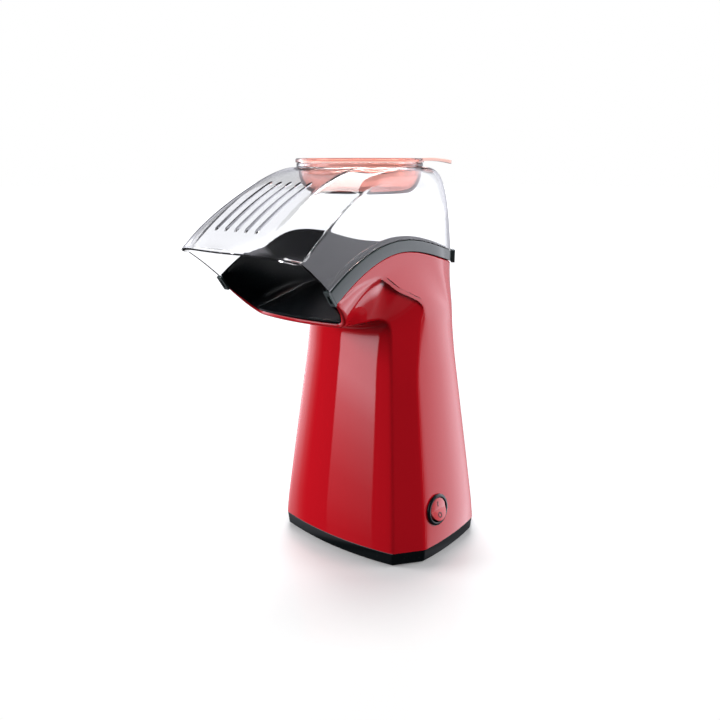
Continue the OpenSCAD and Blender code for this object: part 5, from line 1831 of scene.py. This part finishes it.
@dataclass
class RoundSwitch:
    """The round rocker switch on the +X side."""

    y: float = 17.6
    z: float = 38.0
    hole_r: float = 10.1
    bezel_r: float = 11.75
    bezel_h: float = 1.8
    barrel_r: float = 10.0
    barrel_len: float = 14.0
    pocket_r: float = 9.1
    pocket_h: float = 6.5
    rocker_r: float = 8.4
    rocker_in: float = 2.2
    rocker_rise: float = 3.0
    pivot_in: float = 1.2
    tip: float = 18.0
    slope: float = 10.0
    valley: float = 1.6
    mark_sink: float = 0.3
    mark_rise: float = 0.12
    bar_half: float = 0.55
    bar_span: Point2 = (2.2, 6.0)
    ring_at: float = 4.4
    ring_span: Point2 = (1.15, 2.15)

    def frame_of(self) -> Matrix:
        """Returns the switch's axes: local X points out of the side face."""
        f = FORM
        lean = atan((f.side_at(-self.y, self.z - 1) - f.side_at(-self.y, self.z + 1)) / 2)
        turn = -atan((f.side_at(-self.y + 1, self.z) - f.side_at(-self.y - 1, self.z)) / 2)
        spot = Vector((f.side_at(-self.y, self.z), -self.y, self.z))
        return Matrix.Translation(spot) @ Matrix.Rotation(turn, 4, "Z") @ Matrix.Rotation(-lean, 4, "Y")

    def upright(self) -> Matrix:
        """Returns the switch's axes turned so that local Z points out of the side face."""
        return self.frame_of() @ OUT_OF_X

    def build(self) -> None:
        """Builds the bezel with its barrel, the rocker and its two marks."""
        h, b, seat = self.bezel_h, self.bezel_r, FORM.seat
        profile = rounded([
            (0, -self.barrel_len, 0), (self.barrel_r, -self.barrel_len, 0.4), (self.barrel_r, seat, 0),
            (b, seat, 0.2), (b, h - 0.7, 0.3), (b - 1.3, h, 0.9), (self.pocket_r + 0.2, h, 0.5),
            (self.pocket_r, h - 1.2, 0.4), (self.pocket_r, -self.pocket_h, 0.3), (0, -self.pocket_h, 0)])
        body = lathe("switch_bezel", profile, self.upright(), 112)
        keep(creased(body, 40), Body.BASE, Slot.BLACK_GLOSS, "switch_body")
        self.build_rocker()
        self.build_marks()

    def rocker_axes(self) -> Matrix:
        """Returns the axes at the rocker's pin, tipped so that its upper half is pressed in."""
        pin = self.frame_of() @ Matrix.Translation((-self.pivot_in, 0, 0))
        return pin @ Matrix.Rotation(radians(-self.tip / 2), 4, "Y")

    def face_axes(self, side: int) -> Matrix:
        """Returns the axes of the rocker's lower (1) or upper (-1) face, which meet in a valley."""
        up = self.rocker_rise + self.pivot_in - self.valley
        valley = self.rocker_axes() @ Matrix.Translation((up, 0, 0))
        return valley @ Matrix.Rotation(radians(-self.slope * side), 4, "Y")

    def build_rocker(self) -> None:
        """Builds the rocker with its two sloping faces."""
        top = self.rocker_rise + self.pivot_in
        profile = rounded([(0, -self.rocker_in, 0), (self.rocker_r - 0.7, -self.rocker_in, 0.3),
                           (self.rocker_r, top, 0), (0, top, 0)], 4)
        body = lathe("rocker_cap", profile, self.rocker_axes() @ OUT_OF_X, 96)
        half, deep, lap = self.rocker_r + 1, 30.0, 0.01
        cut(body, [block("wedge", (0, -half, -deep if side > 0 else -lap),
                         (10, half, lap if side > 0 else deep), self.face_axes(side)) for side in (-1, 1)])
        keep(creased(softened(body, 0.45, 25, 3), 30), Body.ROCKER, Slot.ROCKER, "switch_rocker")

    def build_marks(self) -> None:
        """Builds the generic bar and ring, which stand a little proud of the rocker's two faces."""
        (bar_low, bar_high), (r0, r1) = self.bar_span, self.ring_span
        bar = block("bar", (-self.mark_sink, -self.bar_half, bar_low),
                    (self.mark_rise, self.bar_half, bar_high), self.face_axes(-1), 0.08)
        spot = self.face_axes(1) @ Matrix.Translation((0, 0, -self.ring_at)) @ OUT_OF_X
        profile = rounded([(r0, -self.mark_sink, 0), (r1, -self.mark_sink, 0), (r1, self.mark_rise, 0.1),
                           (r0, self.mark_rise, 0.1)], 2)
        marks = creased(joined("rocker_marks", [bar, lathe("ring", profile, spot, 48)]), 40)
        marks.data.materials.append(MARKS.material())
        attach(marks, Body.ROCKER.value)


@dataclass
class CordGrommet:
    """The grommet in the rear wall, with its bore open."""

    z: float = 24.0
    hole_r: float = 5.5
    bore_r: float = 3.5
    flange: float = 2.3
    flange_lap: float = 2.0
    neck_gap: float = 0.1
    neck_len: float = 10.0

    def frame_of(self) -> Matrix:
        """Returns the grommet's axes: local Z points out of the body."""
        f = FORM
        lean = atan((f.rear_at(self.z - 1) - f.rear_at(self.z + 1)) / 2)
        return (Matrix.Translation((0, f.rear_at(self.z), self.z)) @ Matrix.Rotation(lean, 4, "X")
                @ Matrix.Rotation(pi / 2, 4, "X"))

    def build(self) -> None:
        """Builds the grommet."""
        rim, neck = self.hole_r + self.flange_lap, self.hole_r - self.neck_gap
        profile = rounded([
            (self.bore_r, -self.flange, 0.8), (rim, -self.flange, 0.8), (rim, -FORM.seat, 0.3),
            (neck, -FORM.seat, 0), (neck, self.neck_len, 0.5), (self.bore_r, self.neck_len, 0.4)])
        obj = lathe("grommet", profile, self.frame_of(), 64)
        keep(creased(obj, 40), Body.BASE, Slot.BLACK, "cord_inlet")


@dataclass
class AirMover:
    """The fan: a disc with a hub, and curved blades set round it."""

    fan_r: float = 34.0
    disc_t: float = 1.4
    blade_h: float = 13.0
    hub_r: float = 6.0
    shaft_r: float = 1.6
    blades: int = 8
    blade_t: float = 1.2
    bend_share: float = 0.75
    turn_hub: float = 70.0
    turn_tip: float = 14.0
    tip_fall: float = 0.12
    blade_steps: int = 24

    def blade(self) -> Piece:
        """Returns one curved blade, made round the axis at the floor."""
        bend, turn = self.fan_r * self.bend_share, radians(self.turn_hub)
        centre = Vector((self.hub_r - 1 - bend * cos(turn), -bend * sin(turn), 0))
        rings = []
        for i in range(self.blade_steps + 1):
            t = i / self.blade_steps
            a = radians(mix(self.turn_hub, self.turn_tip, t))
            d = Vector((cos(a), sin(a), 0))
            outer, inner = centre + d * bend, centre + d * (bend - self.blade_t)
            up = Vector((0, 0, self.blade_h * (1 - self.tip_fall * t ** 3) - 0.2))
            rings.append([outer, outer + up, inner + up, inner])
        return softened(lofted("blade", rings), 0.3, 50, 2)

    def build(self) -> None:
        """Builds the disc with its hub and the blades."""
        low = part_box("fan_impeller")[0][2] / MM
        top = self.disc_t + self.blade_h
        profile = rounded([
            (self.shaft_r, 0, 0), (self.fan_r, 0, 0.5), (self.fan_r, self.disc_t, 0.5),
            (self.hub_r, self.disc_t, 1.0), (self.hub_r - 0.3, top, 0.8), (self.shaft_r, top, 0.3)], 4)
        disc = lathe("fan_disc", profile, Matrix.Translation((0, 0, low)), 128)
        keep(creased(disc, 40), Body.ROTOR, Slot.BLACK, "fan_impeller")
        spots = [Vector((0, 0, low + self.disc_t - 0.1))] * self.blades
        turns = [2 * pi * i / self.blades for i in range(self.blades)]
        blades = COPIES.spread("fan_blades", self.blade(), spots, Slot.BLACK, turns)
        keep(creased(blades, 40), Body.ROTOR, Slot.BLACK)


@dataclass
class Heater:
    """The coiled wire in the heater's notches: rings of growing radius in two levels."""

    coil: float = 0.55
    wire: float = 0.22
    inset: float = 4.0
    rings: int = 4
    first_share: float = 0.3
    share_step: float = 0.17

    def build(self) -> None:
        """Builds the rings as one piece."""
        low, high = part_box("heater_former")
        wound = WoundRings()
        made = [wound.ring(FORM.duct_r * (self.first_share + self.share_step * i), z, self.coil, self.wire)
                for z in (low[2] / MM + self.inset, high[2] / MM - self.inset) for i in range(self.rings)]
        keep(joined("coil_rings", made), Body.BASE, Slot.WIRE, "heater_coil")


HOUSING = Housing()
HOOD = ClearHood()
SWITCH = RoundSwitch()
GROMMET = CordGrommet()
MARKS = Plastic("rocker_mark_dark", (0.06, 0.004, 0.006), roughness=0.3, grain=0.0)


def dress_nodes(nodes: dict[str, Piece], record: dict, width: float = 0.18, sharp: float = 40) -> None:
    """Gives every frame node that stays its finish and fine rounded edges.

    Args:
        nodes: Name of each node to its object.
        record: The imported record, which names each node's slot.
        width: Width of the rounded edges, in millimetres.
        sharp: Edges that turn by more than this are rounded, in degrees.
    """
    slots = {row["node"]: Slot(row["material_slot"]) for row in record["subparts"]}
    for name, obj in nodes.items():
        obj.data.materials.clear()
        obj.data.materials.append(PAINTS.get(slots[name]))
        if obj.hide_render:
            continue
        edge = obj.modifiers.new("edges", "BEVEL")
        edge.width = width * MM
        edge.segments = 2
        edge.limit_method = "ANGLE"
        edge.angle_limit = radians(sharp)
        edge.use_clamp_overlap = True
        edge.harden_normals = True
        LOG.info("%s: kept, %s", name, slots[name].value)


# ---- studio ----
@dataclass(frozen=True)
class SoftBox:
    """A soft light that reflections show: its level by turn from the front and by rise, in degrees."""

    turn: Stops
    rise: Stops


@dataclass(frozen=True)
class Lamp:
    """A square area light: its place in degrees, its distance and width in metres, its watts."""

    name: str
    turn: float
    rise: float
    far: float
    size: float
    power: float


@dataclass
class Studio:
    """Floor, lights, world and camera."""

    camera_offset: Point3 = (0.3296, -0.4295, 0.2846)
    camera_turn: float = 39.21
    camera_pitch: float = 15.21
    lens: float = 35.93
    sensor: float = 36.0
    floor: Colour = (0.8, 0.8, 0.8)
    floor_roughness: float = 0.12
    floor_specular: float = 0.35
    floor_glow: float = 0.12
    floor_reach: float = 9.0
    floor_fade: Stops = ((0.09, 0), (0.17, 1))
    fill: Stops = ((-8, 0.05), (8, 0.25))
    inner_glow: float = 0.18
    box_base: float = 0.02
    box_colour: Colour = (0.97, 0.97, 1.06)
    boxes: tuple[SoftBox, ...] = (
        # behind, on the side with the switch
        SoftBox(turn=((111, 0), (113, 0.8), (117, 0.8), (119, 0.1), (125, 0.3), (130, 1.5), (145, 2.4),
                      (157, 3.6), (163, 1.8), (180, 0.9)),
                rise=((-60, 0.02), (-36, 0.09), (-29, 0.12), (-26, 1), (15, 1), (40, 0.3), (70, 0.1))),
        # the rest of the rear
        SoftBox(turn=((-180, 0.9), (-160, 0.5), (-140, 0)),
                rise=((-36, 0.09), (-26, 1), (15, 1), (40, 0.3))),
        # a narrow low one in front, on the far side
        SoftBox(turn=((-42.4, 0), (-41.6, 1), (-18.4, 1), (-17.6, 0)),
                rise=((-25, 0.06), (-21, 0.1), (-18, 0.2), (-14, 0.5), (-11, 1.1), (-8.5, 1.9), (-6, 3.6),
                      (4, 3.6), (8, 0))),
        # low on the far side
        SoftBox(turn=((-110, 0), (-95, 1), (-68, 1), (-64, 0.6), (-60, 0.15), (-57, 0.03), (-55, 0)),
                rise=((-36, 0.25), (-23, 1.3), (-17, 2.4), (-12, 4.5), (-9, 5.5), (5, 5.5), (20, 0))),
        # half high in front, on the far side
        SoftBox(turn=((-72, 0), (-66, 1), (-24, 1), (-18, 0)), rise=((6, 0), (12, 1.6), (40, 1.6), (46, 0))),
        # wide and high, from the far side past the front
        SoftBox(turn=((-105, 0), (-90, 1), (40, 1), (60, 0)), rise=((0, 0), (6, 1.3), (56, 1.3), (66, 0))),
        # weak, behind on the far side
        SoftBox(turn=((-165, 0), (-150, 1), (-115, 1), (-95, 0)),
                rise=((-4, 0), (3, 0.6), (22, 0.6), (36, 0.2), (62, 0.2), (75, 0))),
        # half high, from the far side to the front
        SoftBox(turn=((-62, 0), (-52, 1), (-10, 1), (0, 0)), rise=((4, 0), (10, 1.1), (50, 1.1), (60, 0))),
    )
    lamps: tuple[Lamp, ...] = (
        Lamp("key", -52, 14, 1.7, 0.7, 26), Lamp("side", 118, 20, 1.8, 0.9, 18),
        Lamp("back", -142, 62, 1.6, 0.8, 30))

    def build(self) -> None:
        """Builds the whole studio."""
        bpy.context.scene.view_settings.view_transform = "Standard"
        self.build_world()
        self.build_floor()
        self.build_lights()
        data = bpy.data.cameras.new("camera")
        data.lens = self.lens
        data.sensor_width = self.sensor
        data.clip_start, data.clip_end = 0.01, 50
        camera = bpy.data.objects.new("camera", data)
        camera.location = AXIS + Vector(self.camera_offset)
        camera.rotation_euler = (radians(90 - self.camera_pitch), 0, radians(self.camera_turn))
        bpy.context.scene.collection.objects.link(camera)
        bpy.context.scene.camera = camera

    def straight(self, g: Graph) -> tuple[Socket, Socket, Socket]:
        """Returns whether a ray came straight, whether it was scattered and whether it passed clear walls."""
        path = g.add("ShaderNodeLightPath")
        scattered = g.math("MINIMUM", path.outputs["Diffuse Depth"], 1.0)
        mirrored = g.math("MINIMUM", path.outputs["Glossy Depth"], 1.0)
        clear = g.math("COMPARE", path.outputs["Transmission Depth"], 2.0, 1.1)
        return g.math("SUBTRACT", 1.0, g.math("MAXIMUM", scattered, mirrored)), scattered, clear

    def build_world(self) -> None:
        """Makes the studio round the object.

        Rays that come straight see plain white and scattered rays an even soft light. Mirrored
        rays see the soft boxes, and those that pass clear walls a faint glow besides.
        """
        world = bpy.data.worlds.new("studio")
        world.use_nodes = True
        bpy.context.scene.world = world
        g = Graph(world.node_tree)
        back = next(n for n in world.node_tree.nodes if n.type == "BACKGROUND")
        way = g.add("ShaderNodeSeparateXYZ", {0: g.add("ShaderNodeTexCoord").outputs["Generated"]})
        degree = 180 / pi
        forward = g.math("MULTIPLY", way.outputs[1], -1.0)
        turn = g.math("MULTIPLY", g.math("ARCTAN2", way.outputs[0], forward), degree)
        rise = g.math("MULTIPLY", g.math("ARCSINE", way.outputs[2]), degree)
        boxes: float | Socket = self.box_base
        for box in self.boxes:
            boxes = g.math("ADD", boxes, g.math("MULTIPLY", g.ramp(turn, box.turn), g.ramp(rise, box.rise)))
        fill = g.ramp(rise, self.fill)
        straight, scattered, clear = self.straight(g)
        inner = g.math("MULTIPLY", clear, self.inner_glow)
        boxes = g.math("ADD", boxes, inner)
        other = g.math("ADD", g.math("MULTIPLY", scattered, fill),
                       g.math("MULTIPLY", g.math("SUBTRACT", 1.0, scattered), boxes))
        total = g.math("ADD", g.math("MULTIPLY", other, g.math("SUBTRACT", 1.0, straight)), straight)
        g.fill(back, {"Color": tinted(g, self.box_colour, (1, 1, 1), straight), "Strength": total})

    def sheet(self, name: str, corners: Sequence[Point3], mat: bpy.types.Material) -> Piece:
        """Makes a flat stage sheet from four corners in metres."""
        mesh = bpy.data.meshes.new(name)
        mesh.from_pydata(list(corners), [], [tuple(range(len(corners)))])
        obj = linked(name, mesh)
        obj.data.materials.append(mat)
        obj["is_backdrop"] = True
        return obj

    def build_floor(self) -> None:
        """Lays a plain pale floor under the object."""
        mat, g, shader = principled("floor_white")
        way = g.add("ShaderNodeSeparateXYZ", {0: g.add("ShaderNodeTexCoord").outputs["Object"]})
        across = g.math("POWER", g.math("SUBTRACT", way.outputs[0], AXIS.x), 2.0)
        along = g.math("POWER", g.math("SUBTRACT", way.outputs[1], AXIS.y), 2.0)
        far = g.ramp(g.math("SQRT", g.math("ADD", across, along)), self.floor_fade)
        glow = g.math("ADD", self.floor_glow, g.math("MULTIPLY", far, 1 - self.floor_glow))
        under = g.add("ShaderNodeNewGeometry").outputs["Backfacing"]
        g.fill(shader, {
            "Base Color": tinted(g, self.floor, (0, 0, 0), far), "Roughness": self.floor_roughness,
            "Specular IOR Level": self.floor_specular, "Emission Color": (1, 1, 1, 1),
            "Emission Strength": g.math("MULTIPLY", self.straight(g)[0], glow),
            "Alpha": g.math("SUBTRACT", 1.0, under)})
        r = self.floor_reach
        floor = self.sheet("floor", ((-r, -r, 0), (r, -r, 0), (r, r, 0), (-r, r, 0)), mat)
        floor.visible_glossy = False
        floor.visible_diffuse = False

    def build_lights(self) -> None:
        """Hangs the soft lights, which reflections do not show."""
        low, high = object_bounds()
        mid = (low + high) / 2
        for lamp in self.lamps:
            a, e = radians(lamp.turn), radians(lamp.rise)
            way = Vector((sin(a) * cos(e), -cos(a) * cos(e), sin(e)))
            data = bpy.data.lights.new(lamp.name, "AREA")
            data.shape = "RECTANGLE"
            data.size = data.size_y = lamp.size
            data.energy = lamp.power
            obj = bpy.data.objects.new(lamp.name, data)
            obj.location = mid + way * lamp.far
            obj.rotation_euler = (-way).to_track_quat("-Z", "Y").to_euler()
            obj.visible_glossy = False
            bpy.context.scene.collection.objects.link(obj)


def main() -> None:
    """Builds and dresses every piece, then sets the studio."""
    logging.basicConfig(level=logging.INFO, format="%(name)s: %(message)s", stream=sys.stdout)
    parts = (HOUSING, TrimBand(), Chute(), HOOD, MeasuringCup(), BaseTray(), SWITCH, GROMMET, AirMover(),
             Heater())
    for part in parts:
        LOG.info("building %s", type(part).__name__)
        part.build()
    dress_nodes(frame["nodes"], frame["record"])
    Studio().build()


if __name__ == "__main__":
    main()
